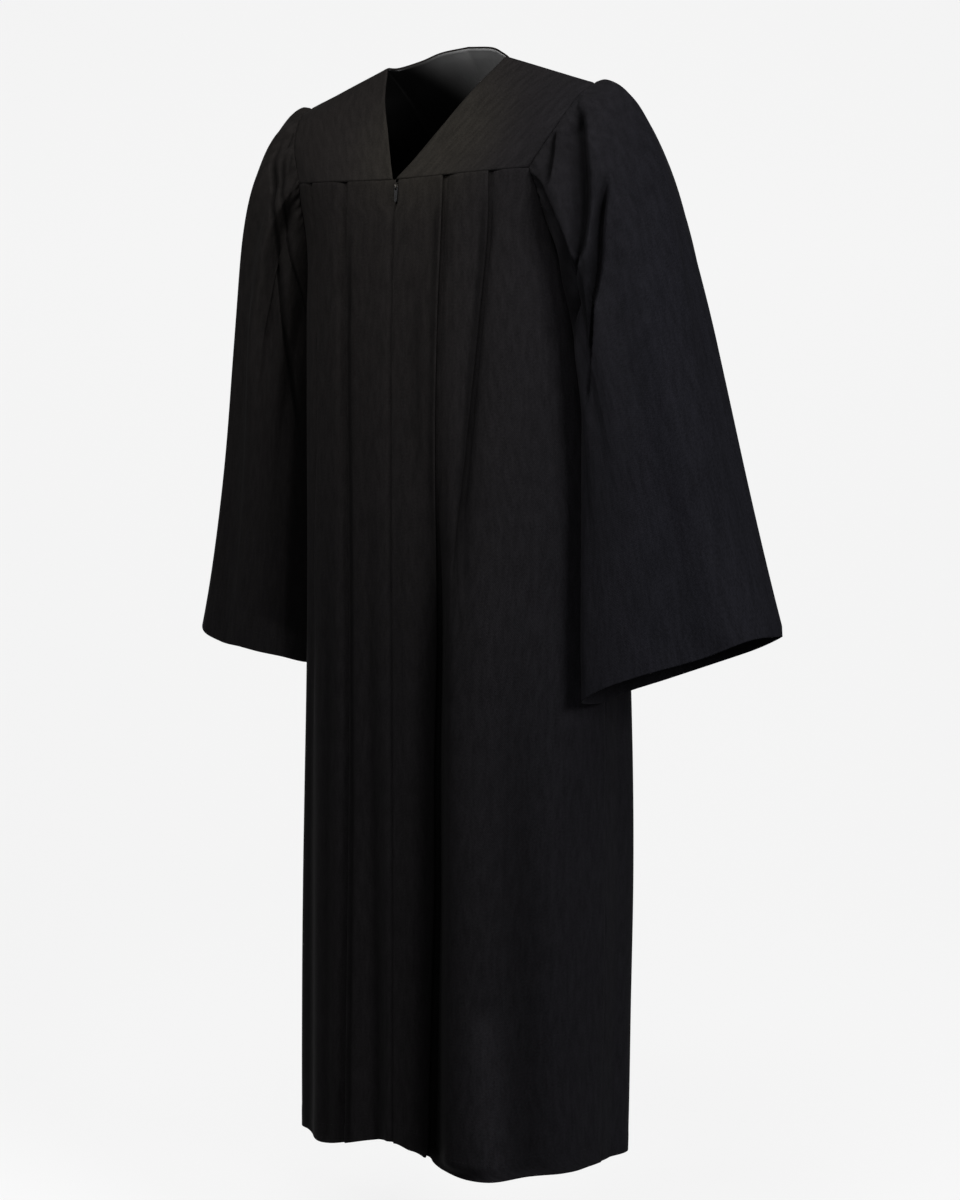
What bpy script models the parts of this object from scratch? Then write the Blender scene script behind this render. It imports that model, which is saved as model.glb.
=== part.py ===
"""Graduation gown, worn and hollow: yokes, pleated fronts, gathered back, bell sleeves and zip.

Metres. +Z is up, the gown faces -Y and the wearer's left is +X. The origin is midway between the
two points where the neck meets the shoulder seams, where the gown rests on the shoulders.
Each cloth piece is a wall with an outer and an inner face, worked out from the tables below.
"""

import math
from typing import NamedTuple

import bmesh
import bpy
import numpy as np

# Driving sizes
WALL = 0.0015
SEAM_GAP = 0.0003
LAYER_PITCH = WALL + 0.0007
NECK_HALF_WIDTH = 0.085
YOKE_SEAM_CENTRE = -0.144
YOKE_SEAM_SIDE = -0.1375
YOKE_SEAM_REACH = 0.165
BACK_SEAM = -0.160
CENTRE_SHIFT = 0.0045
RING_SAMPLES = 721


class BodySection(NamedTuple):
    """One level section of the body: a rounded ring."""

    height: float
    half_width: float
    front: float
    back: float
    squareness: float


BODY_SECTIONS = (
    BodySection(-0.130, 0.1880, 0.1000, 0.118, 3.2),
    BodySection(-0.200, 0.1830, 0.1045, 0.133, 2.6),
    BodySection(-0.300, 0.1900, 0.1080, 0.150, 2.35),
    BodySection(-0.500, 0.1960, 0.1080, 0.165, 2.3),
    BodySection(-0.800, 0.2005, 0.1025, 0.171, 2.25),
    BodySection(-1.050, 0.2005, 0.0995, 0.167, 2.25),
    BodySection(-1.300, 0.1980, 0.0990, 0.158, 2.25),
)


class ArmholeRow(NamedTuple):
    """Where the armhole crosses a level, as front and back Y."""

    height: float
    front: float
    back: float


ARMHOLE_ROWS = (
    ArmholeRow(-0.1375, -0.0695, 0.105),
    ArmholeRow(-0.1600, -0.0600, 0.103),
    ArmholeRow(-0.2000, -0.0440, 0.090),
    ArmholeRow(-0.2500, -0.0180, 0.062),
    ArmholeRow(-0.2850, 0.0060, 0.036),
    ArmholeRow(-0.3000, 0.0210, 0.021),
)


class HemRow(NamedTuple):
    """Height of the hem at a place across the front, wearer's right to left."""

    across: float
    height: float


FRONT_HEM = (
    HemRow(-0.205, -1.260),
    HemRow(-0.172, -1.259),
    HemRow(-0.120, -1.266),
    HemRow(-0.084, -1.263),
    HemRow(-0.045, -1.255),
    HemRow(0.000, -1.251),
    HemRow(0.043, -1.259),
    HemRow(0.075, -1.268),
    HemRow(0.110, -1.269),
    HemRow(0.160, -1.264),
    HemRow(0.205, -1.262),
)
BACK_HEM = -1.262

# Rows of the body panels: fraction of the way from the yoke seam to the hem
BODY_ROW_FALLS = (
    *(0.0, 0.0145, 0.0235, 0.037, 0.065, 0.105, 0.1445),
    *(0.20, 0.29, 0.38, 0.46, 0.56, 0.68, 0.80, 0.90, 1.0),
)
ARMHOLE_ROW_COUNT = 7
SEAM_EASE = 0.12
HEM_EASE_START = 0.30
SIDE_FADE = 0.03
CENTRE_FLAT = 0.012
CENTRE_FADE = 0.02


class PleatRow(NamedTuple):
    """A knife pleat at one height: its edge, its lap, and the hollow beyond it."""

    height: float
    edge: float
    lap: float
    hollow: float
    reach: float
    softness: float


LEFT_INNER_PLEAT = (
    PleatRow(-0.144, 0.0660, 0.014, 0.0046, 0.020, 0.0),
    PleatRow(-0.400, 0.0625, 0.013, 0.0050, 0.022, 0.0),
    PleatRow(-0.600, 0.0570, 0.012, 0.0080, 0.026, 0.0),
    PleatRow(-0.900, 0.0490, 0.011, 0.0150, 0.033, 0.0),
    PleatRow(-1.264, 0.0435, 0.010, 0.0170, 0.036, 0.0),
)
LEFT_OUTER_PLEAT = (
    PleatRow(-0.144, 0.1220, 0.012, 0.0046, 0.018, 0.0),
    PleatRow(-0.283, 0.1180, 0.010, 0.0060, 0.020, 0.0),
    PleatRow(-0.450, 0.1030, 0.006, 0.0090, 0.026, 0.0),
    PleatRow(-0.560, 0.0920, 0.001, 0.0090, 0.032, 0.2),
    PleatRow(-0.700, 0.0890, 0.000, 0.0040, 0.040, 1.0),
    PleatRow(-1.264, 0.1000, 0.000, 0.0000, 0.040, 1.0),
)
RIGHT_INNER_PLEAT = (
    PleatRow(-0.144, 0.0700, 0.014, 0.0046, 0.020, 0.0),
    PleatRow(-0.500, 0.0680, 0.012, 0.0055, 0.022, 0.0),
    PleatRow(-0.900, 0.0690, 0.011, 0.0070, 0.026, 0.0),
    PleatRow(-1.264, 0.0840, 0.010, 0.0090, 0.030, 0.0),
)
RIGHT_OUTER_PLEAT = (
    PleatRow(-0.144, 0.1280, 0.012, 0.0046, 0.016, 0.0),
    PleatRow(-0.300, 0.1240, 0.009, 0.0060, 0.020, 0.0),
    PleatRow(-0.450, 0.1260, 0.005, 0.0080, 0.026, 0.0),
    PleatRow(-0.580, 0.1350, 0.001, 0.0080, 0.030, 0.2),
    PleatRow(-0.700, 0.1400, 0.000, 0.0040, 0.030, 1.0),
    PleatRow(-1.264, 0.1500, 0.000, 0.0000, 0.030, 1.0),
)


class Fold(NamedTuple):
    """A large soft fold: where it lies at the seam and at the hem, its rise, half width and start."""

    top_place: float
    hem_place: float
    rise: float
    spread: float
    start: float


LEFT_FRONT_FOLDS = (
    Fold(0.030, 0.022, 0.006, 0.020, -0.45),
    Fold(0.100, 0.118, 0.022, 0.036, -0.30),
    Fold(0.185, 0.200, 0.008, 0.022, -0.45),
)
RIGHT_FRONT_FOLDS = (
    Fold(0.035, 0.040, -0.007, 0.022, -0.50),
    Fold(0.062, 0.072, 0.005, 0.020, -0.55),
    Fold(0.115, 0.128, 0.009, 0.026, -0.40),
    Fold(0.185, 0.196, 0.010, 0.024, -0.50),
)

class Flute(NamedTuple):
    """A flute of the back. Places and spread are shares of the half back, -1 right to 1 left."""

    top_place: float
    hem_place: float
    rise: float
    spread: float


BACK_FLUTES = (
    Flute(-0.74, -0.78, 0.015, 0.075),
    Flute(-0.55, -0.56, 0.020, 0.070),
    Flute(-0.38, -0.36, 0.016, 0.062),
    Flute(-0.20, -0.17, 0.022, 0.070),
    Flute(-0.02, 0.02, 0.018, 0.062),
    Flute(0.15, 0.20, 0.022, 0.070),
    Flute(0.34, 0.39, 0.017, 0.064),
    Flute(0.52, 0.59, 0.020, 0.070),
    Flute(0.71, 0.79, 0.014, 0.070),
)
FLUTE_TOP_SHARE = 0.12
FLUTE_FULL_FALL = 0.75
FLUTE_SIDE_FADE = 0.10
BACK_COLUMNS = 56


class NeckPoint(NamedTuple):
    """A point of an edge on the wearer's left."""

    across: float
    forward: float
    height: float


NECK_EDGE = (
    NeckPoint(0.0850, 0.0000, 0.000),
    NeckPoint(0.0610, 0.0375, -0.0436),
    NeckPoint(0.0365, 0.0640, -0.0860),
    NeckPoint(0.0170, 0.0850, -0.1200),
    NeckPoint(0.0018, 0.1000, -0.1440),
)
FRONT_ARM_EDGE = (
    NeckPoint(0.2030, -0.0040, -0.0390),
    NeckPoint(0.1990, 0.0240, -0.0560),
    NeckPoint(0.1860, 0.0500, -0.0920),
)
BACK_ARM_EDGE = (
    NeckPoint(0.2030, -0.0040, -0.0390),
    NeckPoint(0.1975, -0.0400, -0.0640),
    NeckPoint(0.1820, -0.0800, -0.1080),
)
BACK_NECK_EDGE = (
    NeckPoint(0.0850, 0.0000, 0.0000),
    NeckPoint(0.0795, -0.0160, 0.0100),
    NeckPoint(0.0600, -0.0330, 0.0210),
    NeckPoint(0.0360, -0.0420, 0.0275),
    NeckPoint(0.0000, -0.0460, 0.0290),
)
BACK_YOKE_RIDGE = (
    NeckPoint(0.2030, -0.0040, -0.0390),
    NeckPoint(0.1200, -0.0220, -0.0100),
    NeckPoint(0.0000, -0.0340, 0.0080),
)
YOKE_ARM_STEPS = 6
YOKE_SEAM_COLUMNS = 12
NECK_STEPS = 6
LINING_WALL = 0.001
NECK_RISE_FADE = 2.2
BACK_SWELL = 0.010
YOKE_SHOULDER_STEPS = 8


class SleeveHemRow(NamedTuple):
    """A corner of the sleeve's open hem, from the outer fold round by the front."""

    across: float
    forward: float
    height: float


LEFT_SLEEVE_HEM = (
    SleeveHemRow(0.407, -0.060, -0.6560),
    SleeveHemRow(0.393, -0.026, -0.6590),
    SleeveHemRow(0.346, 0.002, -0.6800),
    SleeveHemRow(0.288, 0.031, -0.6990),
    SleeveHemRow(0.243, 0.044, -0.7160),
    SleeveHemRow(0.214, 0.038, -0.7320),
    SleeveHemRow(0.213, -0.004, -0.7360),
    SleeveHemRow(0.221, -0.050, -0.7260),
    SleeveHemRow(0.250, -0.090, -0.7130),
    SleeveHemRow(0.302, -0.106, -0.6940),
    SleeveHemRow(0.354, -0.106, -0.6760),
    SleeveHemRow(0.398, -0.088, -0.6590),
)
RIGHT_SLEEVE_HEM = (
    SleeveHemRow(0.407, -0.056, -0.6700),
    SleeveHemRow(0.396, -0.022, -0.6730),
    SleeveHemRow(0.346, 0.004, -0.6890),
    SleeveHemRow(0.296, 0.023, -0.6930),
    SleeveHemRow(0.256, 0.034, -0.6970),
    SleeveHemRow(0.219, 0.036, -0.7010),
    SleeveHemRow(0.212, -0.004, -0.7100),
    SleeveHemRow(0.220, -0.050, -0.7110),
    SleeveHemRow(0.250, -0.090, -0.7050),
    SleeveHemRow(0.302, -0.106, -0.6960),
    SleeveHemRow(0.354, -0.106, -0.6860),
    SleeveHemRow(0.398, -0.086, -0.6730),
)


class SleeveRun(NamedTuple):
    """How the sleeve leaves the armhole and comes to the hem, round from the top by the front."""

    turn: float
    out_across: float
    out_forward: float
    out_height: float
    end_across: float
    end_forward: float
    end_height: float


SLEEVE_RUNS = (
    SleeveRun(0.00, 0.104, 0.000, 0.010, -0.130, 0.000, 0.390),
    SleeveRun(0.12, 0.097, 0.016, -0.022, -0.090, 0.018, 0.370),
    SleeveRun(0.26, 0.062, 0.024, -0.080, -0.055, 0.010, 0.300),
    SleeveRun(0.38, 0.030, 0.006, -0.070, -0.010, -0.004, 0.260),
    SleeveRun(0.50, 0.014, 0.000, -0.040, -0.004, 0.000, 0.200),
    SleeveRun(0.62, 0.030, -0.010, -0.070, -0.010, 0.000, 0.260),
    SleeveRun(0.74, 0.060, -0.024, -0.080, -0.050, -0.006, 0.300),
    SleeveRun(0.88, 0.100, -0.024, -0.022, -0.100, -0.010, 0.380),
)
SLEEVE_ROW_FALLS = (0.0, 0.016, 0.06, 0.13, 0.22, 0.33, 0.45, 0.58, 0.72, 0.86, 1.0)
SLEEVE_GATHERS = 9
SLEEVE_GATHER_RISE = 0.0030
SLEEVE_GATHER_LENGTH = 0.16
SLEEVE_GATHER_REACH = 0.30


class SleeveFold(NamedTuple):
    """A large fold of the sleeve: its place round the tube, half width, rise and stretch."""

    turn: float
    end_turn: float
    spread: float
    rise: float
    start: float
    end: float


SLEEVE_FOLDS = (
    SleeveFold(0.235, 0.30, 0.030, -0.010, 0.02, 0.55),
    SleeveFold(0.190, 0.25, 0.026, 0.005, 0.02, 0.80),
    SleeveFold(0.120, 0.12, 0.030, 0.005, 0.05, 1.00),
    SleeveFold(0.330, 0.36, 0.030, 0.005, 0.10, 0.80),
    SleeveFold(0.800, 0.76, 0.035, -0.009, 0.04, 0.75),
    SleeveFold(0.880, 0.86, 0.030, 0.006, 0.04, 0.95),
)

# The zip
TAPE_HALF_WIDTH = 0.013
TAPE_THICKNESS = 0.0010
TAPE_DEPTH = 0.0040
TAPE_TOP = -0.1556
TAPE_END = -0.800
TAPE_ROWS = 14
SLIDER_HALF_WIDTH = 0.0033
SLIDER_TOP = -0.1462
SLIDER_BOTTOM = -0.1550
SLIDER_FRONT = 0.0022
SLIDER_BACK = 0.0050
BRIDGE_HALF_WIDTH = 0.0012
BRIDGE_OUT = 0.0029
PIN_OUT = 0.0012
PIN_HEIGHT = -0.1522
PIN_HALF = 0.0005
EYE_RADIUS = 0.0009
WINDOW_HALF_WIDTH = 0.00155
TAB_HALF_WIDTH = 0.00235
WINDOW_DROP = 0.0038
TAB_DROP = 0.0175
SLOT_HALF_WIDTH = 0.0019
UNDERLAP = 0.0100
OVERLAP = 0.0020
PLACKET_WIDTH = 0.016
PLACKET_TOP_ROWS = 3


def clear_scene():
    """Remove every object that the file opened with."""
    for thing in list(bpy.data.objects):
        bpy.data.objects.remove(thing, do_unlink=True)


def unit(vectors):
    """Vectors scaled to length one, along the last axis."""
    vectors = np.asarray(vectors, float)
    return vectors / np.maximum(np.linalg.norm(vectors, axis=-1, keepdims=True), 1e-12)


def smooth_curve(points, count, closed=False, spacing=None):
    """Points along a smooth curve through the given ones, even along its length or at given shares."""
    points = np.asarray(points, float)
    ends = np.vstack([points[-1:], points, points[:2]]) if closed else np.vstack(
        [2 * points[0] - points[1], points, 2 * points[-1] - points[-2]]
    )
    shares = np.linspace(0, 1, 24, endpoint=False)[:, None]
    runs = []
    for start in range(1, len(ends) - 2):
        before, here, there, after = ends[start - 1 : start + 3]
        runs.append(
            here
            + 0.5 * shares * (there - before)
            + shares**2 * (before - 2.5 * here + 2 * there - 0.5 * after)
            + shares**3 * (1.5 * (here - there) + 0.5 * (after - before))
        )
    dense = np.vstack(runs + [points[:1] if closed else points[-1:]])
    lengths = np.concatenate([[0], np.cumsum(np.linalg.norm(np.diff(dense, axis=0), axis=1))])
    if spacing is None:
        spacing = np.linspace(0, 1, count)
    wanted = np.asarray(spacing) * lengths[-1]
    return np.stack([np.interp(wanted, lengths, dense[:, axis]) for axis in range(3)], axis=1)


def table_value(rows, key, column, at):
    """A column of a table at any key, eased between its rows."""
    keys = np.array([getattr(row, key) for row in rows])
    values = np.array([getattr(row, column) for row in rows])
    if keys[0] > keys[-1]:
        keys = keys[::-1]
        values = values[::-1]
    slopes = np.gradient(values, keys)
    at = float(np.clip(at, keys[0], keys[-1]))
    cell = int(np.clip(np.searchsorted(keys, at) - 1, 0, len(keys) - 2))
    step = keys[cell + 1] - keys[cell]
    share = (at - keys[cell]) / step
    return float(
        values[cell] * (1 + 2 * share) * (1 - share) ** 2
        + values[cell + 1] * share**2 * (3 - 2 * share)
        + slopes[cell] * step * share * (1 - share) ** 2
        - slopes[cell + 1] * step * share**2 * (1 - share)
    )


def ease(value):
    """A smooth step from 0 to 1."""
    value = min(1.0, max(0.0, value))
    return value * value * (3 - 2 * value)


def bump(distance, spread):
    """A smooth hill of height one that ends at two spreads from its middle."""
    share = abs(distance) / (2 * spread)
    return 0.0 if share >= 1 else (1 - share * share) ** 2


class Ring:
    """The level section of the body at one height, on the wearer's left, front centre to back centre."""

    def __init__(self, height):
        self.height = height
        self.half_width = table_value(BODY_SECTIONS, "height", "half_width", height)
        front = table_value(BODY_SECTIONS, "height", "front", height)
        back = table_value(BODY_SECTIONS, "height", "back", height)
        self.power = table_value(BODY_SECTIONS, "height", "squareness", height)
        self.middle = (back - front) / 2
        self.half_depth = (back + front) / 2
        angles = np.linspace(0, math.pi, RING_SAMPLES)
        sines = np.sin(angles)
        cosines = np.cos(angles)
        self.across = self.half_width * np.abs(sines) ** (2 / self.power)
        self.along = self.middle - self.half_depth * np.sign(cosines) * np.abs(cosines) ** (2 / self.power)
        steps = np.hypot(np.diff(self.across), np.diff(self.along))
        self.lengths = np.concatenate([[0], np.cumsum(steps)])
        self.side = float(np.interp(math.pi / 2, angles, self.lengths))

    def place_of_x(self, across):
        """Distance from the front centre at which the front of the ring has this X."""
        half = RING_SAMPLES // 2 + 1
        return float(np.interp(across, self.across[:half], self.lengths[:half]))

    def place_of_y(self, along):
        """Distance from the front centre at which the ring has this Y."""
        return float(np.interp(along, self.along, self.lengths))

    def point(self, place, depth):
        """The point at a distance from the front centre, sunk inwards by depth. Negative places mirror."""
        side = -1.0 if place < 0 else 1.0
        place = abs(place)
        across = float(np.interp(place, self.lengths, self.across))
        along = float(np.interp(place, self.lengths, self.along))
        beyond = max(0.0, place - self.lengths[-1])
        across -= beyond
        rise = np.array(
            [
                (abs(across) / self.half_width) ** (self.power - 1) / self.half_width * np.sign(across),
                (abs(along - self.middle) / self.half_depth) ** (self.power - 1)
                / self.half_depth
                * np.sign(along - self.middle),
            ]
        )
        rise /= max(np.linalg.norm(rise), 1e-12)
        return np.array([side * (across - rise[0] * depth), along - rise[1] * depth, self.height])

    def outward(self, place):
        """The level direction out of the cloth at a place."""
        return unit(self.point(place, 0.0) - self.point(place, 0.001))


def offset_path(path, distance):
    """A path of (place, depth) points moved to its outer side by a distance, with mitred turns."""
    path = np.asarray(path, float)
    steps = unit(np.diff(path, axis=0))
    normals = np.stack([steps[:, 1], -steps[:, 0]], axis=1)
    before = np.vstack([normals[:1], normals])
    after = np.vstack([normals, normals[-1:]])
    middle = unit(before + after)
    stretch = 1 / np.maximum(np.sum(middle * after, axis=1), 0.72)
    return path + middle * (distance * stretch)[:, None]


def mesh_object(name, points, faces, material, flat=False):
    """A named object with one closed mesh and one material."""
    mesh = bpy.data.meshes.new(name)
    mesh.from_pydata([tuple(map(float, point)) for point in points], [], faces)
    mesh.update()
    if flat:
        mesh.shade_flat()
    else:
        mesh.shade_smooth()
        mesh.set_sharp_from_angle(angle=math.radians(50))
    mesh.materials.append(material)
    thing = bpy.data.objects.new(name, mesh)
    bpy.context.scene.collection.objects.link(thing)
    return thing


def finish(name, colour, roughness, metallic=0.0):
    """A material with one colour and gloss."""
    material = bpy.data.materials.new(name)
    material.use_nodes = True
    shader = material.node_tree.nodes["Principled BSDF"]
    shader.inputs["Base Color"].default_value = (*colour, 1.0)
    shader.inputs["Roughness"].default_value = roughness
    shader.inputs["Metallic"].default_value = metallic
    return material


def wall_object(name, outer, inner, material, round_columns=False):
    """A cloth wall between two grids of points, closed at its edges. Rows run down, columns across."""
    rows, columns = outer.shape[:2]
    points = np.vstack([outer.reshape(-1, 3), inner.reshape(-1, 3)])
    under = rows * columns
    faces = []
    last = columns if round_columns else columns - 1
    for row in range(rows - 1):
        for column in range(last):
            beside = (column + 1) % columns
            a = row * columns + column
            b = row * columns + beside
            c = (row + 1) * columns + beside
            d = (row + 1) * columns + column
            faces.append((a, d, c, b))
            faces.append((a + under, b + under, c + under, d + under))
    for column in range(last):
        beside = (column + 1) % columns
        bottom = (rows - 1) * columns
        faces.append((column, beside, beside + under, column + under))
        faces.append((bottom + column, bottom + column + under, bottom + beside + under, bottom + beside))
    if not round_columns:
        for row in range(rows - 1):
            left = row * columns
            right = row * columns + columns - 1
            faces.append((left, left + under, left + columns + under, left + columns))
            faces.append((right, right + columns, right + columns + under, right + under))
    thing = mesh_object(name, points, faces, material)
    make_outward(thing)
    return thing


def make_outward(thing):
    """Turn a closed mesh's faces out if its volume comes out negative."""
    shape = bmesh.new()
    shape.from_mesh(thing.data)
    if shape.calc_volume(signed=True) < 0:
        bmesh.ops.reverse_faces(shape, faces=shape.faces)
    shape.to_mesh(thing.data)
    shape.free()


def grid_normals(grid, round_columns=False):
    """The direction out of a grid of points at each of them."""
    if round_columns:
        across = np.roll(grid, -1, axis=1) - np.roll(grid, 1, axis=1)
    else:
        across = np.gradient(grid, axis=1)
    down = np.gradient(grid, axis=0)
    return unit(np.cross(down, across))


def fold_rise(folds, place, height, hem):
    """How far the large folds lift the cloth at a place."""
    lift = 0.0
    for fold in folds:
        share = (fold.start - height) / (fold.start - hem)
        if share <= 0:
            continue
        middle = fold.top_place + (fold.hem_place - fold.top_place) * min(1.0, share)
        lift += fold.rise * ease(share) * bump(place - middle, fold.spread)
    return lift


def pleat_path(rows, height, place_of_x):
    """The nine (place, depth) points of a knife pleat, edge first, hollow last."""
    edge = place_of_x(table_value(rows, "height", "edge", height))
    lap = max(0.0, table_value(rows, "height", "lap", height))
    hollow = table_value(rows, "height", "hollow", height)
    reach = table_value(rows, "height", "reach", height)
    softness = min(1.0, max(0.0, table_value(rows, "height", "softness", height)))
    turn = LAYER_PITCH / 2
    floor = max(2 * LAYER_PITCH, hollow)
    knife = np.array(
        [
            (edge, 0.0),
            (edge + turn, turn),
            (edge, 2 * turn),
            (edge - lap, 2 * turn),
            (edge - lap - turn, 3 * turn),
            (edge - lap, 4 * turn),
            (edge + 0.004, floor),
            (edge + 0.45 * reach, 0.55 * floor),
            (edge + reach, 0.06 * floor),
        ]
    )
    shares = np.linspace(-0.3, 1.0, 9)
    soft = np.stack(
        [edge + reach * shares, hollow * np.sin(math.pi * np.clip(shares * 0.77 + 0.23, 0, 1)) ** 2], axis=1
    )
    return knife + (soft - knife) * softness


def front_row(side, height_of, fall):
    """The (place, depth) path of a front panel on one row, centre edge first, and its ring."""
    folds = LEFT_FRONT_FOLDS if side > 0 else RIGHT_FRONT_FOLDS
    inner = LEFT_INNER_PLEAT if side > 0 else RIGHT_INNER_PLEAT
    outer = LEFT_OUTER_PLEAT if side > 0 else RIGHT_OUTER_PLEAT
    level = height_of(0.08, fall)
    ring = Ring(level)
    end = front_end(height_of, fall)[1] - SEAM_GAP / 2
    first = pleat_path(inner, level, ring.place_of_x)
    second = pleat_path(outer, level, ring.place_of_x)
    edge, tuck, strip, sink = centre_edge(side, fall)
    gap = first[0, 0] - strip
    start = [(edge, sink), (tuck, sink), (strip, 0.0), (strip + 0.40 * gap, 0.0), (strip + 0.78 * gap, 0.0)]
    space = second[0, 0] - first[8, 0]
    between = [(first[8, 0] + 0.35 * space, 0.0), (first[8, 0] + 0.72 * space, 0.0)]
    rest = end - second[8, 0]
    tail = [(second[8, 0] + share * rest, 0.0) for share in (0.22, 0.45, 0.70, 0.88, 1.0)]
    path = np.array(start + list(map(tuple, first)) + between + list(map(tuple, second)) + tail)
    hem = height_of(0.08, 1.0)
    side_fade = [ease((end - place) / SIDE_FADE) for place in path[:, 0]]
    centre_fade = [ease((place - CENTRE_FLAT) / CENTRE_FADE) for place in path[:, 0]]
    lifts = np.array([fold_rise(folds, place, level, hem) for place in path[:, 0]])
    return path, lifts * np.array(side_fade) * np.array(centre_fade)


def centre_edge(side, fall):
    """A front's centre strip on one row: its edge, the end of its tuck, the start of its flat, its depth."""
    row = BODY_ROW_FALLS.index(fall)
    shift = centre_shift(fall)
    if side > 0:
        edge = shift + (SLOT_HALF_WIDTH if row < PLACKET_TOP_ROWS else -OVERLAP)
        return edge, edge + 0.004, shift + PLACKET_WIDTH, 0.0
    if row < PLACKET_TOP_ROWS:
        edge = SLOT_HALF_WIDTH - shift
        sink = 0.0 if row < PLACKET_TOP_ROWS - 1 else LAYER_PITCH
    else:
        edge = -UNDERLAP - shift
        sink = LAYER_PITCH
    return edge, OVERLAP + 0.0015 - shift, OVERLAP + 0.0095 - shift, sink


def centre_shift(fall):
    """How far the closure line lies to the wearer's left of the middle."""
    return CENTRE_SHIFT * (1 - 1.6 * ease((fall - 0.05) / 0.95))


def panel_end(ring, fall, which):
    """Where a body panel ends on its ring: at the armhole above the underarm, else at the side seam."""
    if BODY_ROW_FALLS.index(fall) >= ARMHOLE_ROW_COUNT - 1:
        return ring.side
    return ring.place_of_y(table_value(ARMHOLE_ROWS, "height", which, ring.height))


def front_end(height_of, fall):
    """The ring and the place where a front ends on one row."""
    ring = Ring(height_of(0.18, fall))
    place = panel_end(ring, fall, "front")
    ring = Ring(height_of(place, fall))
    return ring, panel_end(ring, fall, "front")


def front_height(side):
    """Height of a front's rows: the yoke seam above, the uneven hem below."""

    def height(place, fall):
        share = min(1.0, abs(place) / YOKE_SEAM_REACH)
        top = YOKE_SEAM_CENTRE + (YOKE_SEAM_SIDE - YOKE_SEAM_CENTRE) * share**1.5
        hem = table_value(FRONT_HEM, "across", "height", side * min(place, 0.205))
        level = YOKE_SEAM_SIDE + fall * (BACK_HEM - YOKE_SEAM_SIDE)
        below = ease((fall - HEM_EASE_START) / (1 - HEM_EASE_START))
        above = 1 - ease(fall / SEAM_EASE)
        return level + (top - SEAM_GAP / 2 - YOKE_SEAM_SIDE) * above + (hem - BACK_HEM) * below

    return height


def front_panel(name, side, material):
    """A long front with two knife pleats."""
    height_of = front_height(side)
    outer = []
    inner = []
    for fall in BODY_ROW_FALLS:
        path, lifts = front_row(side, height_of, fall)
        faces = []
        for distance in (WALL / 2, -WALL / 2):
            moved = offset_path(path + np.array([0.0, WALL / 2]), distance)
            moved[-1] = (path[-1, 0], WALL / 2 - distance)
            places = []
            for (place, depth), (mid, _), lift in zip(moved, path, lifts):
                ring = Ring(height_of(max(0.0, mid), fall))
                places.append(ring.point(place, depth - lift))
            faces.append(places)
        outer.append(faces[0])
        inner.append(faces[1])
    outer = np.array(outer)
    inner = np.array(inner)
    if side < 0:
        outer[..., 0] *= -1
        inner[..., 0] *= -1
    return wall_object(name, outer, inner, material)


def back_height(fall):
    """Height of the back's rows, level with the fronts' rows below the underarm."""
    level = YOKE_SEAM_SIDE + fall * (BACK_HEM - YOKE_SEAM_SIDE)
    above = 1 - ease(fall / SEAM_EASE)
    return level + (BACK_SEAM - SEAM_GAP / 2 - YOKE_SEAM_SIDE) * above


def flute_lift(share, fall):
    """How far the back's flutes lift it at a share of its half width."""
    grown = FLUTE_TOP_SHARE + (1 - FLUTE_TOP_SHARE) * ease(fall / FLUTE_FULL_FALL)
    lift = 0.0
    for flute in BACK_FLUTES:
        middle = flute.top_place + (flute.hem_place - flute.top_place) * fall
        lift += flute.rise * grown * bump(share - middle, flute.spread)
    return lift * ease((1 - abs(share)) / FLUTE_SIDE_FADE)


def back_panel(material):
    """The long back, gathered into its yoke and falling in flutes."""
    outer = []
    inner = []
    for fall in BODY_ROW_FALLS:
        ring = Ring(back_height(fall))
        start = panel_end(ring, fall, "back") + SEAM_GAP / 2
        half = ring.lengths[-1] - start
        shares = np.linspace(-1, 1, BACK_COLUMNS)
        section = np.array([(share * half, WALL / 2 - flute_lift(share, fall)) for share in shares])
        faces = []
        for distance in (WALL / 2, -WALL / 2):
            moved = offset_path(section, distance)
            moved[0] = (section[0, 0], WALL / 2 - distance)
            moved[-1] = (section[-1, 0], WALL / 2 - distance)
            places = []
            for place, depth in moved:
                turned = half + start - abs(place)
                point = ring.point(turned, depth)
                point[0] *= 1.0 if place > 0 else -1.0
                places.append(point)
            faces.append(places)
        outer.append(faces[0])
        inner.append(faces[1])
    return wall_object("back_panel", np.array(outer), np.array(inner), material)


def edge_points(rows):
    """The points of a short edge table as (X, Y, Z) on the wearer's left."""
    return [(row.across, -row.forward, row.height) for row in rows]


def front_junction():
    """Where the front yoke seam meets the armhole."""
    ring = Ring(YOKE_SEAM_SIDE - SEAM_GAP / 2)
    place = ring.place_of_y(ARMHOLE_ROWS[0].front)
    return ring.point(place, 0.0) + np.array([0, 0, SEAM_GAP])


def back_junction():
    """Where the back yoke seam meets the armhole."""
    ring = Ring(BACK_SEAM - SEAM_GAP / 2)
    place = ring.place_of_y(table_value(ARMHOLE_ROWS, "height", "back", BACK_SEAM))
    return ring.point(place, 0.0) + np.array([0, 0, SEAM_GAP])


def coons(top, bottom, left, right):
    """A surface through four edges. Rows run from top to bottom, columns from left to right."""
    rows = len(left)
    columns = len(top)
    down = np.linspace(0, 1, rows)[:, None, None]
    chord = np.concatenate([[0], np.cumsum(np.linalg.norm(np.diff(top, axis=0), axis=1))])
    across = (chord / chord[-1])[None, :, None]
    ruled = (1 - down) * top[None] + down * bottom[None]
    sided = (1 - across) * left[:, None] + across * right[:, None]
    corners = (
        (1 - down) * (1 - across) * top[0]
        + (1 - down) * across * top[-1]
        + down * (1 - across) * bottom[0]
        + down * across * bottom[-1]
    )
    return (ruled + sided - corners).reshape(rows, columns, 3)


def mirrored(points):
    """The same points on the wearer's right."""
    return np.asarray(points) * np.array([-1.0, 1.0, 1.0])


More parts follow.
